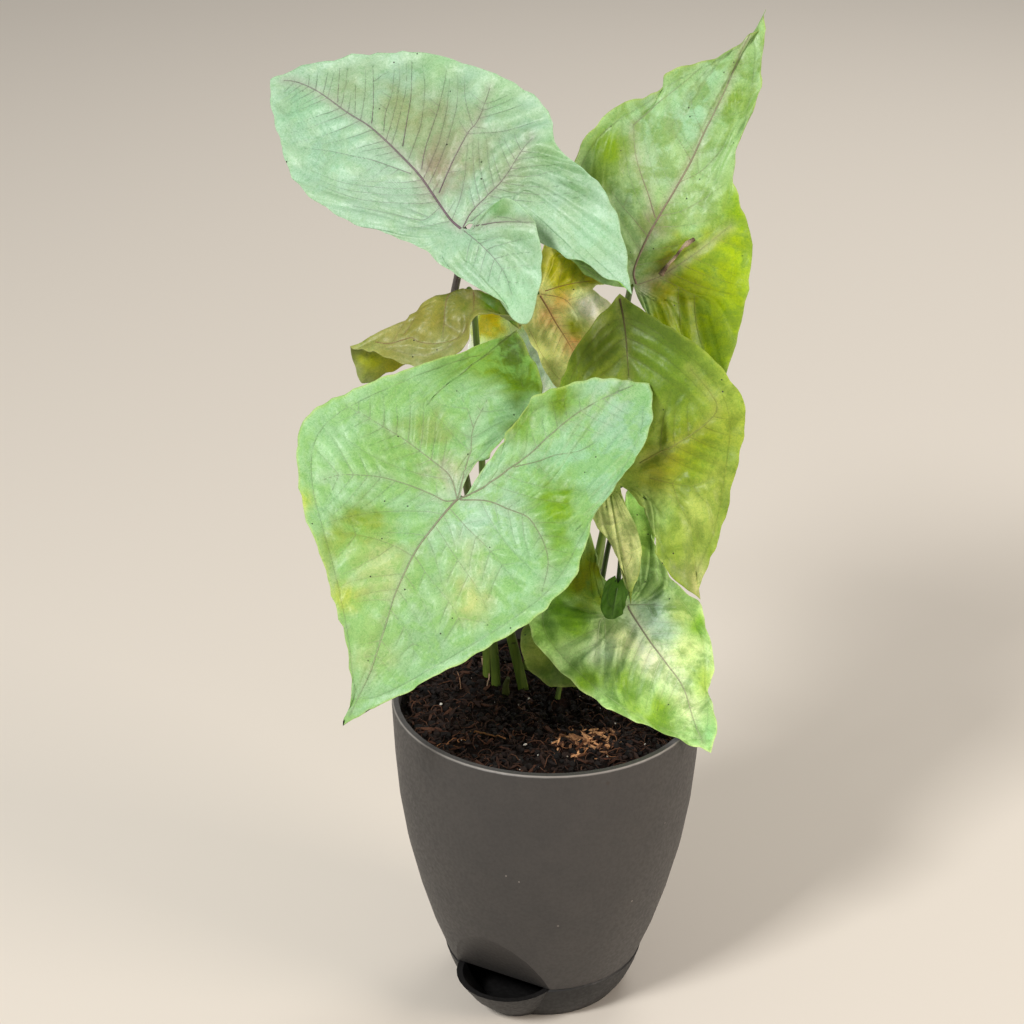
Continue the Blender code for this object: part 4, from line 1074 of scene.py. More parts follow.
def grown(start, ahead, side, margin, others):
    """A side vein in plan: it bends towards the rib's tip and stops near the margin or a vein."""
    line = [start]
    for step in range(SIDE_LONGEST):
        wobble = SIDE_WOBBLE * noise.noise(Vector((*line[-1], 0)) / SIDE_WOBBLE_SIZE)
        lean = max(SIDE_ANGLE - SIDE_BEND * step * VEIN_STEP, SIDE_LEAST_ANGLE)
        angle = side * math.radians(lean + wobble)
        turned = np.array((ahead[0] * math.cos(angle) - ahead[1] * math.sin(angle),
                           ahead[0] * math.sin(angle) + ahead[1] * math.cos(angle)))
        place = line[-1] + VEIN_STEP * turned
        if nearest(margin, place) < MARGIN_ROOM or nearest(others, place) < VEIN_ROOM:
            break
        line.append(place)
    return np.array(line)


def side_veins(blade, dress, ribs):
    """Side veins from both sides of every rib."""
    margin = in_plan(blade, blade.sheet[-1])
    drawn = [in_plan(blade, rib.points) for rib in ribs]
    made = []
    for number, rib in enumerate(drawn[:len(ribs)]):
        reach = np.concatenate([[0], np.cumsum(np.linalg.norm(np.diff(rib, axis=0), axis=1))])
        thinned = 1 if ribs[number].width > BROAD_VEIN else THIN_RIB_CROWDING
        room = SIDE_CROWDING * dress.spacing * thinned
        for side in (-1, 1):
            for at in np.arange(dress.spacing, reach[-1] - MARGIN_ROOM, room):
                place = int(np.searchsorted(reach, at))
                ahead = unit(rib[min(place + 2, len(rib) - 1)] - rib[max(place - 2, 0)])
                others = [line for index, line in enumerate(drawn) if index != number]
                others = np.concatenate(others or [np.zeros((0, 2))])
                if nearest(others, rib[place]) < RIB_ROOM:
                    continue
                line = grown(rib[place], ahead, side, margin, others)
                if len(line) > SIDE_LEAST_POINTS:
                    made.append(plan_vein(blade, SIDE_WIDTH, dress.side, line))
                    drawn.append(line[SIDE_FREE_POINTS:])
    return [vein for vein in made if vein]


def margin_vein(blade, strength):
    """The thin vein that runs along inside the margin."""
    inside = np.linalg.norm(blade.sheet - blade.sheet[-1], axis=-1) > MARGIN_ROOM
    line = []
    for ray in range(MARGIN_VEIN_ENDS, blade.sheet.shape[1] - MARGIN_VEIN_ENDS, MARGIN_VEIN_RAYS):
        rows = np.nonzero(inside[:, ray])[0]
        if len(rows):
            line.append(in_plan(blade, blade.sheet[rows[-1], ray]))
    for _ in range(MARGIN_VEIN_PASSES):
        triples = zip(line, line[1:], line[2:])
        line[1:-1] = [(before + here + after) / 3 for before, here, after in triples]
    return plan_vein(blade, MARGIN_VEIN_WIDTH, strength, along_line(line, VEIN_STEP))


def blade_veins(blade, dress):
    """Every vein of a blade; the photo's own first."""
    ribs = [placed_vein(blade, *vein) for vein in dress.veins]
    ribs = [rib for rib in ribs if rib] or ruled_ribs(blade)
    if not dress.spacing:
        return ribs, ribs
    extra = side_veins(blade, dress, ribs)
    rim = margin_vein(blade, dress.side)
    return ribs, ribs + extra + ([rim] if rim else [])


def vein_strip(vein, way):
    """A low rounded ridge along a vein, on the upper face or the lower: points, quads and rings."""
    out = way * vein.ups
    ahead = np.gradient(vein.points, axis=0)
    side = np.cross(out, ahead)
    side /= np.maximum(np.linalg.norm(side, axis=-1, keepdims=True), TINY)
    count = len(vein.points)
    thinning = VEIN_TAPER * np.linspace(0, 1, count) ** VEIN_TAPER_POWER
    taper = (1 - thinning)[:, None] * vein.width
    base = vein.points + out * vein.half[:, None]
    height = UPPER_RIDGE if way > 0 else LOWER_RIDGE
    profile = BROAD_PROFILE if vein.width >= BROAD_VEIN else THIN_PROFILE
    rings = [base + side * taper * across + out * taper * rise * height for across, rise in profile]
    return np.concatenate(rings), grid_quads(len(rings), count), len(rings)


def mix(first, second, share):
    share = np.asarray(share)[..., None]
    return first * (1 - share) + second * share


def ripple(points, size, seed):
    """Seeded smooth noise at each point, about -1 to 1, with lumps about size mm across."""
    flat = points.reshape(-1, 3) / size + (seed, 0, 0)
    return np.array([noise.noise(Vector(point)) for point in flat]).reshape(points.shape[:-1])


def point_tree(points):
    tree = kdtree.KDTree(len(points))
    for number, point in enumerate(points):
        tree.insert(point, number)
    tree.balance()
    return tree


def gap_to(veins, sheet):
    """Distance in mm from each point of a sheet to the nearest vein."""
    tree = point_tree(np.concatenate([vein.points for vein in veins]))
    gaps = [tree.find(point)[2] for point in sheet.reshape(-1, 3)]
    return np.array(gaps).reshape(sheet.shape[:-1])


def paint(blade, dress, gap, rib_gap):
    """Tints of both faces: base, patches, the tissue by the veins, the paler rim, and painted shade by the
    veins with painted light on the hills between them.
    """
    sheet = blade.sheet
    wobble = ripple(sheet, WOBBLE_SIZE, len(blade.leaf.name))
    wobble += FINE_WOBBLE * ripple(sheet, FINE_WOBBLE_SIZE, FINE_WOBBLE_SEED)
    tint = np.broadcast_to(colour(dress.base), sheet.shape).copy()
    under = mix(tint, colour(UNDER_TINT), UNDER_SHARE * np.ones(sheet.shape[:2]))
    for pixel, radius, code, strength in dress.patches:
        hit = meet(blade, CAMERA_PLACE, sight(pixel))
        if hit is None:
            continue
        away = np.linalg.norm(sheet - hit[0], axis=-1) / radius + PATCH_WOBBLE * wobble
        share = abs(strength) * np.clip((PATCH_END - away) / PATCH_FADE, 0, 1) ** PATCH_POWER
        if strength < 0 or not hit[3]:
            # Painted light: a lower-face patch is lightened for the shade that face lies in
            under = mix(under, UNDER_PAINTED_LIGHT * colour(code), share)
            continue
        tint = mix(tint, colour(code), share)
        under = mix(under, colour(code), UNDER_PATCH * share)
    tint = np.maximum(colour(dress.base) + CONTRAST * (tint - colour(dress.base)), 0)
    tint = mix(tint, colour(dress.halo), HALO_SHARE * np.exp(-(rib_gap / HALO_REACH) ** 2))
    tint *= (1 + WOBBLE_SHARE * wobble)[..., None]
    edge = np.linalg.norm(sheet - sheet[-1], axis=-1)
    tint = mix(tint, colour(dress.rim), RIM_SHARE * np.exp(-(edge / RIM_REACH) ** 2))
    # Painted shade in the valleys by the veins, and painted light on the hills between them
    tint *= (VALLEY_PAINTED_SHADE + HILL_PAINTED_LIGHT * (1 - np.exp(-(gap / HILL_REACH) ** 2)))[..., None]
    return tint * dress.gain, under * dress.gain


def relief(blade, gap):
    """How far each point of the blade stands off its smooth surface."""
    sheet = blade.sheet
    free = np.clip(np.linalg.norm(sheet - blade.junction, axis=-1) / HUB_CALM - 0.5, 0, 1)
    edge = np.linalg.norm(sheet - sheet[-1], axis=-1)
    bulge = QUILT * (1 - np.exp(-(gap / QUILT_REACH) ** 2))
    roll = RIPPLE * ripple(sheet, RIPPLE_SIZE, RIPPLE_SEED)
    frill = ripple(sheet, EDGE_RIPPLE_SIZE, EDGE_RIPPLE_SEED)
    frill = EDGE_RIPPLE * np.exp(-edge / EDGE_REACH) * frill
    return free * bulge + free * (roll + frill)


def lifted(vein, stand, tree):
    """The vein raised with the quilted sheet, and the sheet's point nearest to each of its own."""
    close = [tree.find_n(point, RISE_POINTS) for point in vein.points]
    rise = np.array([stand[[item[1] for item in found]].mean() for found in close]) + VEIN_LIFT
    rise = np.convolve(np.pad(rise, 1, mode="edge"), RISE_SMOOTHING, "valid")
    raised = vein._replace(points=vein.points + vein.ups * rise[:, None])
    return raised, [found[0][1] for found in close]


def sheet_parts(blade, dress, stand, grounds):
    """Points, tints and fleck shares of the sheet's upper face, lower face and junction."""
    sheet = blade.sheet + blade.normals * stand[..., None]
    half = blade.half[..., None] * blade.normals
    hub = blade.axes[2] * SHEET_THICKNESS / 2
    points = [(sheet + half).reshape(-1, 3), (sheet - half).reshape(-1, 3),
              [blade.junction + hub, blade.junction - hub]]
    tints = [ground.reshape(-1, 3) for ground in grounds]
    tints.append([ground[0, stand.shape[1] // 2] for ground in grounds])
    amounts = [np.full(stand.size, share) for share in (dress.fleck_share, dress.fleck_share / 2)]
    return points, tints, amounts + [[0, 0]]


def leaf_piece(leaf, look):
    """The dressed blade: quilted sheet, veins on both faces, painted tint."""
    dress = DRESSES[leaf.name]
    blade = make_blade(leaf)
    ribs, veins = blade_veins(blade, dress)
    gap = gap_to(veins, blade.sheet)
    rib_gap = gap_to([rib for rib in ribs if rib.width > HALO_VEIN] or ribs, blade.sheet)
    grounds = paint(blade, dress, gap, rib_gap)
    stand = relief(blade, gap)
    points, tints, amounts = sheet_parts(blade, dress, stand, grounds)
    faces = facing_out(leaf, sheet_faces(*stand.shape))
    total = sum(len(part) for part in points)
    tree = point_tree(blade.sheet.reshape(-1, 3))
    for vein in veins:
        raised, spots = lifted(vein, stand.reshape(-1), tree)
        fall = vein.strength * (1 - VEIN_FADE * np.linspace(0, 1, len(spots)))
        for way, ground, share in zip((1, -1), grounds, (1, LOWER_VEIN_SHARE)):
            verts, quads, rings = vein_strip(raised, way)
            shade = mix(ground.reshape(-1, 3)[spots], colour(dress.vein), share * fall)
            points.append(verts)
            tints.append(np.tile(shade, (rings, 1)))
            amounts.append(np.zeros(len(verts)))
            faces += [tuple(total + index for index in quad) for quad in quads]
            total += len(verts)
    leaf_object(leaf, look, np.concatenate(points), faces, np.concatenate(tints),
                np.concatenate(amounts), colour(dress.fleck))


def sheet_faces(rows, rays):
    """Both faces of a sheet, the fan at its junction and the strip round its edge."""
    size = rows * rays
    top, bottom = 2 * size, 2 * size + 1
    faces = []
    for ray in range(rays - 1):
        faces.append((top, ray + 1, ray))
        faces.append((bottom, size + ray, size + ray + 1))
        for row in range(rows - 1):
            near = row * rays + ray
            far = near + rays
            faces.append((near, near + 1, far + 1, far))
            faces.append((size + near, size + far, size + far + 1, size + near + 1))
    outline = [row * rays for row in range(rows)]
    outline += [(rows - 1) * rays + ray for ray in range(1, rays)]
    outline += [row * rays + rays - 1 for row in range(rows - 2, -1, -1)]
    for start, end in zip(outline, outline[1:]):
        faces.append((start, end, size + end, size + start))
    faces.append((top, outline[0], size + outline[0], bottom))
    faces.append((outline[-1], top, bottom, size + outline[-1]))
    return faces


def inside_box(points):
    """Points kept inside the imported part's own box."""
    low, high = (np.array(corner) / MM for corner in CAD_BOX)
    return np.clip(points, low, high)


def mesh_object(name, points, faces, look, smooth=True):
    mesh = bpy.data.meshes.new(name)
    mesh.from_pydata((inside_box(np.asarray(points, float)) * MM).tolist(), [], faces)
    if smooth:
        mesh.shade_smooth()
    made = new_object(name, mesh)
    mesh.materials.append(look)
    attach(made, "root")
    return made


def colour_attribute(mesh, name, values, alpha):
    made = mesh.color_attributes.new(name, "FLOAT_COLOR", "POINT")
    data = np.concatenate([np.clip(values, 0, 1), np.asarray(alpha, float).reshape(-1, 1)], axis=1)
    made.data.foreach_set("color", data.astype(np.float32).ravel())


def leaf_object(leaf, look, points, faces, tints, amounts, fleck):
    made = mesh_object(leaf.name, points, faces, look)
    colour_attribute(made.data, "tint", tints, np.ones(len(tints)))
    colour_attribute(made.data, "fleck", np.tile(fleck, (len(tints), 1)), amounts)
    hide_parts(leaf.name + "_blade")


def tube_mesh(route, radii, sides):
    """Points, faces and share along of a round tube; radii are one for each point of the route."""
    side = Vector((1, 0, 0))
    points, shares = [], []
    for number, point in enumerate(route):
        ahead = route[min(number + 1, len(route) - 1)] - route[max(number - 1, 0)]
        ahead.normalize()
        side = (side - ahead * side.dot(ahead)).normalized()
        other = ahead.cross(side)
        for step in range(sides):
            angle = 2 * math.pi * step / sides
            outward = side * math.cos(angle) + other * math.sin(angle)
            points.append(point + float(radii[number]) * outward)
            shares.append(number / (len(route) - 1))
    faces = [tuple(reversed(range(sides))), tuple(range(len(points) - sides, len(points)))]
    return points, faces + ring_quads(len(route), sides), np.array(shares)


# Tints of a stalk at its foot and at its top, where along it the change starts, and how fast it is
TINT_START = 0.1875
TINT_RISE = 1.6
STALK_TINTS = {"others": ("6f8436", "66822f"), "leaf_young": ("4a5a28", "2f4a1c"),
               "leaf_upper_left": ("6f8436", "3f3338")}


def stalk_look():
    """Smooth leaf stalk: painted tint with long streaks and a few dark flecks."""
    look, tree, shader = new_look("stalk", roughness=0.42)
    place = node(tree, "Mapping", {"Vector": object_place(tree), "Scale": STREAK_SCALE})
    streak = grain(tree, size=0.9, detail=3.0, Vector=place.outputs["Vector"])
    streak = fade(tree, streak, low=0.35, high=0.7)
    base = overlay(tree, painted(tree), streak, STALK_STREAKS, share=0.45)
    dark = fade(tree, grain(tree, size=3.5, detail=2.0), low=0.68, high=0.74, start=0.0, end=0.7)
    base = blend(tree, dark, base, STALK_FLECKS)
    tree.links.new(base, shader.inputs["Base Color"])
    bump(tree, shader, streak, distance=0.06, strength=0.4)
    return look


def stalk_piece(leaf, look):
    """A finer stalk on the source's route, tinted from its foot to its top."""
    route = stalk_route(leaf, leaf is not YOUNG_BLADE)
    part = np.linspace(0, 1, len(route))
    radii = leaf.radii[0] + (leaf.radii[1] - leaf.radii[0]) * part
    points, faces, share = tube_mesh(route, radii, STALK_SIDES)
    made = mesh_object(leaf.name + "_stalk_fine", points, faces, look)
    foot, top = (colour(code) for code in STALK_TINTS.get(leaf.name, STALK_TINTS["others"]))
    tint = mix(foot, top, np.clip((share - TINT_START) * TINT_RISE, 0, 1))
    colour_attribute(made.data, "tint", tint, share)
    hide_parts(leaf.name + "_stalk")


def soil_surface(x, y):
    """Height of the source's soil at a place."""
    clumps = noise.noise(Vector((x * SOIL_GRAIN, y * SOIL_GRAIN, 0.3)))
    heap = 1 - (math.hypot(x, y) / RIM_RADIUS) ** 2
    return SOIL_HEIGHT + SOIL_RELIEF * (clumps + heap - 0.5)


def rough_surface(x, y):
    """The loose top, a little over the source's soil."""
    lumps = noise.fractal(Vector((x, y, 0)) / COVER_GRAIN, *COVER_FRACTAL)
    return soil_surface(x, y) + COVER_LIFT + COVER_RELIEF * lumps


def lying(x, y, lift):
    """The place over the loose top at x, y."""
    return x, y, rough_surface(x, y) + lift


def soil_look():
    """Dark coir mix: brown on near black, with reddish patches."""
    look, tree, shader = new_look("soil", roughness=0.95)
    shader.inputs["Specular IOR Level"].default_value = 0.15
    tone = fade(tree, grain(tree, size=1.0, detail=5.0, Roughness=0.7), low=0.44, high=0.68)
    base = blend(tree, tone, *(colour(code) for code in SOIL_TONES))
    red = fade(tree, grain(tree, size=5.0, detail=3.0), low=0.5, high=0.7, start=0.0, end=0.5)
    base = blend(tree, red, base, colour(RED_SOIL_TONE))
    tree.links.new(base, shader.inputs["Base Color"])
    clods = grain(tree, size=0.8, detail=6.0, Roughness=0.75)
    bump(tree, shader, clods, distance=0.8, strength=1.0)
    return look


def litter_look():
    """Loose bits: the painted tint with a fine stringy grain."""
    look, tree, shader = new_look("litter", roughness=0.8)
    shader.inputs["Specular IOR Level"].default_value = 0.3
    streak = fade(tree, grain(tree, size=0.5, detail=4.0, Roughness=0.7), low=0.35, high=0.65)
    base = overlay(tree, painted(tree), streak, LITTER_STREAKS, share=0.6)
    tree.links.new(base, shader.inputs["Base Color"])
    bump(tree, shader, streak, distance=0.1, strength=0.6)
    return look


def soil_cover(look):
    """The loose top of the soil, as rings about the pot's middle."""
    points = [Vector(lying(0, 0, 0))]
    for ring in range(1, COVER_RINGS + 1):
        radius = SOIL_RADIUS * ring / COVER_RINGS
        for step in range(COVER_STEPS):
            angle = 2 * math.pi * step / COVER_STEPS
            x, y = radius * math.cos(angle), radius * math.sin(angle)
            points.append(Vector(lying(x, y, 0)))
    faces = [(0, 1 + step, 1 + (step + 1) % COVER_STEPS) for step in range(COVER_STEPS)]
    faces += [(a, d, c, b) for a, b, c, d in ring_quads(COVER_RINGS, COVER_STEPS, 1)]
    made = mesh_object("soil_cover", points, faces, look)


class Litter:
    """Loose bits gathered into one mesh, each with its own tint."""

    def __init__(self, name, seed):
        self.name = name
        self.chance = random.Random(seed)
        self.points, self.faces, self.tints = [], [], []

    def add(self, points, faces, tint):
        """One more bit, in one tint or in a tint for each point."""
        start = len(self.points)
        self.points += [tuple(point) for point in points]
        self.faces += [tuple(start + index for index in face) for face in faces]
        self.tints += np.broadcast_to(tint, (len(points), 3)).tolist()

    def somewhere(self, room):
        """A seeded place on the soil that is clear of the wall and of the stalks."""
        feet = [leaf.stalk[0] for leaf in LEAVES + [YOUNG_BLADE]]
        while True:
            x, y = (self.chance.uniform(-SOIL_RADIUS, SOIL_RADIUS) for _ in range(2))
            if math.hypot(x, y) > SOIL_RADIUS - room:
                continue
            if all(math.hypot(x - foot[0], y - foot[1]) > room + STALK_ROOM for foot in feet):
                return x, y

    def shade(self, dark, light):
        """A seeded tint, more often near the dark one."""
        return mix(colour(dark), colour(light), self.chance.random() ** TINT_POWER)

    def build(self, look, smooth=False):
        made = mesh_object(self.name, self.points, self.faces, look, smooth)
        colour_attribute(made.data, "tint", np.array(self.tints), np.ones(len(self.tints)))


def ball():
    """A ball of twenty triangles: its corners, and every three of them that are one edge apart."""
    golden, edge = (1 + 5 ** 0.5) / 2, 2
    corners = []
    for a in (-1, 1):
        for b in (-golden, golden):
            corners += [(0, a, b), (a, b, 0), (b, 0, a)]
    faces = []
    for i, j, k in itertools.combinations(range(len(corners)), 3):
        a, b, c = (Vector(corners[number]) for number in (i, j, k))
        if max((a - b).length, (b - c).length, (c - a).length) < 1.05 * edge:
            out = (b - a).cross(c - a).dot(a) > 0
            faces.append((i, j, k) if out else (i, k, j))
    return np.array(corners) / math.hypot(1, golden), faces


BALL_CORNERS, BALL_FACES = ball()


def turned(chance, *axes):
    """A seeded turn about each axis, each given with its range."""
    turn = Matrix.Identity(3)
    for axis, low, high in axes:
        turn = turn @ Matrix.Rotation(chance.uniform(low, high), 3, axis)
    return turn


def lump(chance, centre, size):
    """A small rough stone-like lump: a ball with its corners moved."""
    stretch = np.array([chance.uniform(*reach) for reach in LUMP_STRETCH])
    turn = turned(chance, ("Z", 0, TURN), ("X", 0, TURN))
    swell = np.array([[chance.uniform(*LUMP_SWELL)] for _ in BALL_CORNERS])
    return BALL_CORNERS * swell * stretch * size @ np.array(turn).T + centre, BALL_FACES


def fibre(chance, centre, length, radius, rise):
    """A thin bent strand that lies on the soil."""
    heading = chance.uniform(0, 2 * math.pi)
    bend = chance.uniform(-FIBRE_BEND, FIBRE_BEND)
    x, y = centre
    lift = chance.uniform(0, rise)
    route = []
    for step in range(FIBRE_STEPS):
        arch = math.sin(math.pi * step / (FIBRE_STEPS - 1))
        inside = min(1, (SOIL_RADIUS - WALL_ROOM) / max(math.hypot(x, y), 1))
        route.append(Vector(lying(x * inside, y * inside, radius + lift * arch)))
        x += length / FIBRE_STEPS * math.cos(heading)
        y += length / FIBRE_STEPS * math.sin(heading)
        heading += bend + chance.uniform(-FIBRE_WOBBLE, FIBRE_WOBBLE)
    points, faces, _ = tube_mesh(route, [radius] * FIBRE_STEPS, FIBRE_SIDES)
    return points, faces


def chip(chance, centre, size):
    """A thin splinter of bark: a flat flake, tilted."""
    length, width, thickness = CHIP_SHAPE
    corners = []
    for step in range(CHIP_SIDES):
        angle = 2 * math.pi * step / CHIP_SIDES
        reach = size * chance.uniform(*CHIP_CORNERS)
        corners.append((length * reach * math.cos(angle), width * reach * math.sin(angle)))
    thick = thickness * size
    flat = [(x, y, thick) for x, y in corners] + [(x, y, -thick) for x, y in corners]
    tilt = (-CHIP_TILT, CHIP_TILT)
    turn = turned(chance, ("Z", 0, TURN), ("X", *tilt), ("Y", *tilt))
    points = [Vector(centre) + turn @ Vector(point) for point in flat]
    faces = [tuple(range(CHIP_SIDES)), tuple(reversed(range(CHIP_SIDES, 2 * CHIP_SIDES)))]
    for step in range(CHIP_SIDES):
        after = (step + 1) % CHIP_SIDES
        faces.append((step, step + CHIP_SIDES, after + CHIP_SIDES, after))
    return points, faces


def on_soil(pixel):
    """The place on the soil at which a pixel of the photo looks."""
    direction = sight(pixel)
    place = Vector(CAMERA_PLACE)
    place += direction * ((SEEN_HEIGHT - place.z) / direction.z)
    return place.x, place.y


def make_crumbs(look):
    """Small lumps of soil."""
    crumbs = Litter("soil_crumbs", seed=11)
    for _ in range(CRUMBS):
        size = crumbs.chance.uniform(*CRUMB_SIZES)
        x, y = crumbs.somewhere(size)
        points, faces = lump(crumbs.chance, lying(x, y, CRUMB_LIFT * size), size)
        crumbs.add(points, faces, crumbs.shade(*CRUMB_TINTS))
    crumbs.build(look)


def make_fibres(look, bright, reddish):
    """Coir fibres, lighter about the bright and the reddish place that the photo shows."""
    fibres = Litter("coir_fibres", seed=12)
    for _ in range(FIBRES):
        place = fibres.somewhere(2)
        away = min(math.dist(place, bright) / BRIGHT_REACH,
                   math.dist(place, reddish) / REDDISH_REACH)
        near = away < fibres.chance.random()
        points, faces = fibre(fibres.chance, place, fibres.chance.uniform(*FIBRE_LENGTHS),
                              fibres.chance.uniform(*FIBRE_RADII), FIBRE_RISE)
        fibres.add(points, faces, fibres.shade(*(PALE_FIBRE_TINTS if near else FIBRE_TINTS)))
    fibres.build(look, True)


def make_chips(look, bright):
    """Bark chips, the first of them pale and gathered about the bright place."""
    chips = Litter("bark_chips", seed=13)
    for number in range(CHIPS):
        x, y = chips.somewhere(2)
        pale = number < BRIGHT_CHIPS
        if pale:
            reach, turn = BRIGHT_CHIPS_REACH * chips.chance.random(), chips.chance.uniform(0, TURN)
            x, y = bright[0] + reach * math.cos(turn), bright[1] + reach * math.sin(turn)
        if math.hypot(x, y) > SOIL_RADIUS - CHIP_WALL_ROOM:
            continue
        size = chips.chance.uniform(*CHIP_SIZES)
        points, faces = chip(chips.chance, lying(x, y, CHIP_LIFT), size)
        chips.add(points, faces, chips.shade(*(PALE_CHIP_TINTS if pale else CHIP_TINTS)))
    chips.build(look)


def make_perlite(look):
    """White grains: those that the photo shows, and a scatter of small ones."""
    perlite = Litter("perlite", seed=14)
    lift, share = SHOWN_LIFT
    for pixel, size in PERLITE_SHOWN:
        points, faces = lump(perlite.chance, lying(*on_soil(pixel), lift + share * size), size)
        perlite.add(points, faces, colour(PERLITE_TINT))
    lift, share = PERLITE_LIFT
    for _ in range(PERLITE_GRAINS):
        size = perlite.chance.uniform(*PERLITE_SIZES)
        place = perlite.somewhere(size)
        points, faces = lump(perlite.chance, lying(*place, lift + share * size), size)
        perlite.add(points, faces, perlite.shade(*PERLITE_TINTS))
    perlite.build(look)


def make_straw(look):
    """Bits of straw that thin to half their radius."""
    straw = Litter("straw", seed=15)
    for pixels, radius, tint in STRAWS:
        places = along_line([on_soil(pixel) for pixel in pixels], 1.0)
        route = [Vector(lying(x, y, radius + STRAW_LIFT)) for x, y in places]
        radii = np.linspace(radius, 0.5 * radius, len(route))
        points, faces, _ = tube_mesh(route, radii, STRAW_SIDES)
        straw.add(points, faces, colour(tint))
    straw.build(look, True)


def make_litter(look):
    """Crumbs, coir fibres, bark chips, perlite and straw, as the photo shows them."""
    bright = on_soil(BRIGHT_PIXEL)
    make_crumbs(look)
    make_fibres(look, bright, on_soil(REDDISH_PIXEL))
    make_chips(look, bright)
    make_perlite(look)
    make_straw(look)


def make_twig(look):
    """The dry twig that lies on the upper right leaf."""
    blade = make_blade(next(leaf for leaf in LEAVES if leaf.name == "leaf_upper_right"))
    pixels = along_line(TWIG_PIXELS, TWIG_STEP)
    route = []
    for pixel, radius in zip(pixels, TWIG_RADII):
        point, up, *_ = meet(blade, CAMERA_PLACE, sight(pixel))
        route.append(Vector(point + up * (radius + QUILT + TWIG_LIFT)))
    count = len(route)
    places = np.linspace(0, count - 1, 3 * (count - 1) + 1)
    radii = np.interp(places, range(count), TWIG_RADII[:count])
    points, faces, shares = tube_mesh(smooth_route(route, 3), radii, TWIG_SIDES)
    knobs = [Vector((noise.noise(point), noise.noise(point * 2), 0)) for point in points]
    points = [point + knob * TWIG_KNOBS for point, knob in zip(points, knobs)]
    bands = 0.5 + 0.5 * np.sin(TWIG_BANDS * shares)
    twig = Litter("twig", seed=16)
    # Tints lightened as painted light for the shade that the twig lies in
    twig.add(points, faces, mix(*(colour(tint) for tint in TWIG_LIGHTENED_TINTS), bands))
    twig.build(look, True)


def make_floor():
    mesh = bpy.data.meshes.new("floor")
    corners = [(-FLOOR_REACH, -FLOOR_REACH, 0), (FLOOR_REACH, -FLOOR_REACH, 0),
               (FLOOR_REACH, FLOOR_REACH, 0), (-FLOOR_REACH, FLOOR_REACH, 0)]
    mesh.from_pydata(corners, [], [(0, 1, 2, 3)])
    made = new_object("floor", mesh)
    made.location.z = CAD_BOX[0].z - FLOOR_DROP
    look, _, shader = new_look("floor", roughness=0.75)
    shader.inputs["Base Color"].default_value = FLOOR_TONE
    mesh.materials.append(look)


def area_light(name, place, size, power, tone):
    """A soft square light that faces the plant."""
    data = bpy.data.lights.new(name, "AREA")
    data.size = size
    data.energy = power
    data.color = tone
    made = new_object(name, data)
    made.location = place
    ahead = Vector(LIT_PLACE) - Vector(place)
    made.rotation_euler = ahead.to_track_quat("-Z", "Y").to_euler()


def make_lights():
    world = bpy.data.worlds.new("world")
    world.use_nodes = True
    background = world.node_tree.nodes["Background"].inputs
    background["Color"].default_value = WORLD_TONE
    background["Strength"].default_value = WORLD_STRENGTH
    bpy.context.scene.world = world
    for name, light in LIGHTS.items():
        area_light(name, *light)
    bpy.context.scene.view_settings.view_transform = "Standard"


def painted_rim_highlight(tree, rim):
    """Strength of the painted highlight along a rim's outer edge; rim is its height."""
    parts = node(tree, "SeparateXYZ", {"Vector": object_place(tree)}).outputs
    flat = node(tree, "CombineXYZ", {"X": parts["X"], "Y": parts["Y"]}).outputs[0]
    reach = node(tree, "VectorMath", {0: flat}, operation="LENGTH").outputs["Value"]
    start, full = ((rim - depth) * MM for depth in RIM_HIGHLIGHT_DEPTHS)
    high = fade(tree, parts["Z"], low=start, high=full, start=0.0, end=RIM_HIGHLIGHT_STRENGTH)
    start, full = ((RIM_RADIUS - inset) * MM for inset in RIM_HIGHLIGHT_INSETS)
    return times(tree, high, fade(tree, reach, low=start, high=full))


def plain_look(name, rim=None):
    """A matt look: faint mottling, fine texture, and a painted highlight along the rim's outer edge if its
    height is given.
    """
    look, tree, shader = new_look(name, roughness=0.6)
    tone = fade(tree, grain(tree, size=14, detail=8.0, Roughness=0.7), low=0.2, high=0.8)
    base = blend(tree, tone, *(colour(code) for code in PLAIN_TONES[name]))
    fine = fade(tree, grain(tree, size=0.9, detail=4.0), low=0.3, high=0.7)
    base = overlay(tree, base, fine, PLASTIC_GRAIN, share=0.18)
    if rim:
        # Painted highlight: a pale line along the outer edge of the rim
        base = blend(tree, painted_rim_highlight(tree, rim), base, colour(RIM_HIGHLIGHT_TONE))
    tree.links.new(base, shader.inputs["Base Color"])
    gloss = fade(tree, grain(tree, size=1.5, detail=4.0), low=0.3, high=0.7, start=0.46, end=0.62)
    tree.links.new(gloss, shader.inputs["Roughness"])
    bump(tree, shader, grain(tree, size=0.45, detail=3.0), distance=0.05, strength=0.5)
    return look


# Small marks on the pot, by pixels of the photo: a pixel, a radius in mm, a colour and a strength
POT_MARKS = [((403, 780), 1.0, "2a2624", 0.7), ((412, 811), 0.8, "2a2624", 0.7),
             ((433, 868), 0.8, "2a2624", 0.7), ((608, 783), 1.1, "39312c", 0.8),
             ((570, 742), 0.7, "39312c", 0.7), ((632, 901), 0.5, "a39a92", 0.8),
             ((506, 876), 0.4, "a39a92", 0.8), ((519, 882), 0.4, "a39a92", 0.8),
             ((558, 926), 0.6, "8a817a", 0.6), ((665, 823), 0.4, "a39a92", 0.6)]


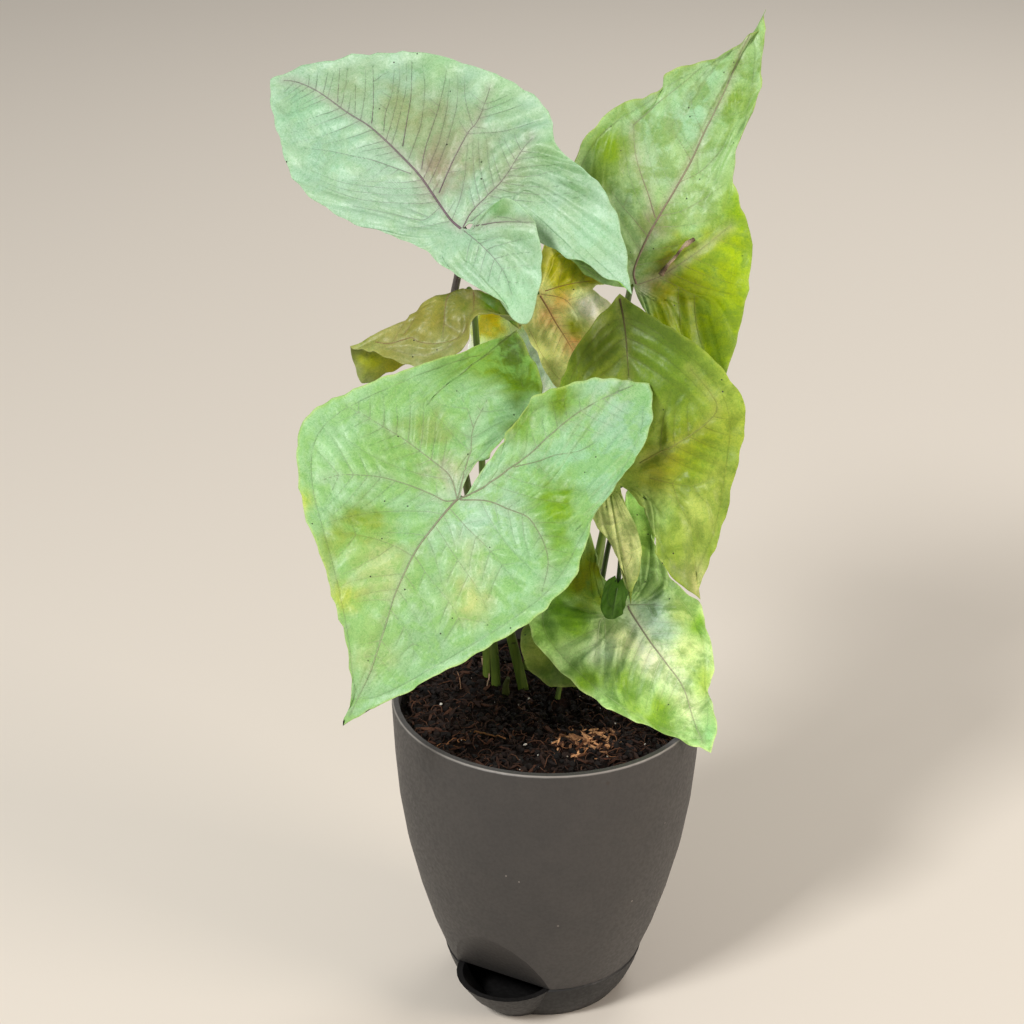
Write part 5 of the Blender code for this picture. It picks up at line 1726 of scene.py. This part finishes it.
def mark_pot(look):
    """Dark scuffs and pale specks where the photo shows them on the pot."""
    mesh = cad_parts["pot"].data
    points = [vertex.co / MM for vertex in mesh.vertices]
    tree = BVHTree.FromPolygons(points, [tuple(face.vertices) for face in mesh.polygons])
    nodes = look.node_tree
    shader = nodes.nodes["Principled BSDF"]
    base = shader.inputs["Base Color"].links[0].from_socket
    for pixel, radius, code, strength in POT_MARKS:
        point = tree.ray_cast(Vector(CAMERA_PLACE), sight(pixel))[0]
        away = node(nodes, "VectorMath", {0: object_place(nodes), 1: tuple(point * MM)},
                    operation="DISTANCE").outputs["Value"]
        share = fade(nodes, away, low=0.4 * radius * MM, high=radius * MM, start=strength, end=0.0)
        base = blend(nodes, share, base, colour(code))
    nodes.links.new(base, shader.inputs["Base Color"])


def geometry_node(tree, kind, geometry=None, **settings):
    made = tree.nodes.new(kind)
    for name, value in settings.items():
        setattr(made, name, value)
    if geometry:
        tree.links.new(geometry, made.inputs["Geometry"])
    return made


def smooth_nodes():
    """Node group that shades a mesh smoothly and keeps its creases sharp."""
    tree = bpy.data.node_groups.new("smooth", "GeometryNodeTree")
    for side in ("INPUT", "OUTPUT"):
        tree.interface.new_socket("Geometry", in_out=side, socket_type="NodeSocketGeometry")
    start = geometry_node(tree, "NodeGroupInput")
    clear = geometry_node(tree, "GeometryNodeRemoveAttribute", start.outputs[0])
    clear.inputs["Name"].default_value = "custom_normal"
    faces = geometry_node(tree, "GeometryNodeSetShadeSmooth", clear.outputs[0], domain="FACE")
    edges = geometry_node(tree, "GeometryNodeSetShadeSmooth", faces.outputs[0], domain="EDGE")
    angle = geometry_node(tree, "GeometryNodeInputMeshEdgeAngle")
    flat = geometry_node(tree, "FunctionNodeCompare", data_type="FLOAT", operation="LESS_THAN")
    tree.links.new(angle.outputs["Unsigned Angle"], flat.inputs[0])
    flat.inputs[1].default_value = CREASE
    tree.links.new(flat.outputs[0], edges.inputs["Shade Smooth"])
    end = geometry_node(tree, "NodeGroupOutput")
    tree.links.new(edges.outputs[0], end.inputs[0])
    return tree


def dress_node(name, look, smooth=None):
    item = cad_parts[name]
    item.data.materials.clear()
    item.data.materials.append(look)
    if smooth:
        item.modifiers.new("weld", "WELD").merge_threshold = WELD_REACH * MM
        item.modifiers.new("smooth", "NODES").node_group = smooth


def main():
    make_camera()
    make_floor()
    make_lights()
    leaf_material = leaf_look()
    stalk_material = stalk_look()
    litter = litter_look()
    for leaf in LEAVES + [YOUNG_BLADE]:
        leaf_piece(leaf, leaf_material)
        stalk_piece(leaf, stalk_material)
    pot = plain_look("pot", RIM_HEIGHT)
    mark_pot(pot)
    smooth = smooth_nodes()
    dress_node("pot", pot, smooth)
    dress_node("reservoir_base", plain_look("base"), smooth)
    soil = soil_look()
    dress_node("soil", soil)
    dress_node("wick", plain_look("wick"))
    dress_node("shoot", plain_look("shoot"))
    soil_cover(soil)
    make_litter(litter)
    make_twig(litter)


main()
bpy.context.view_layer.update()
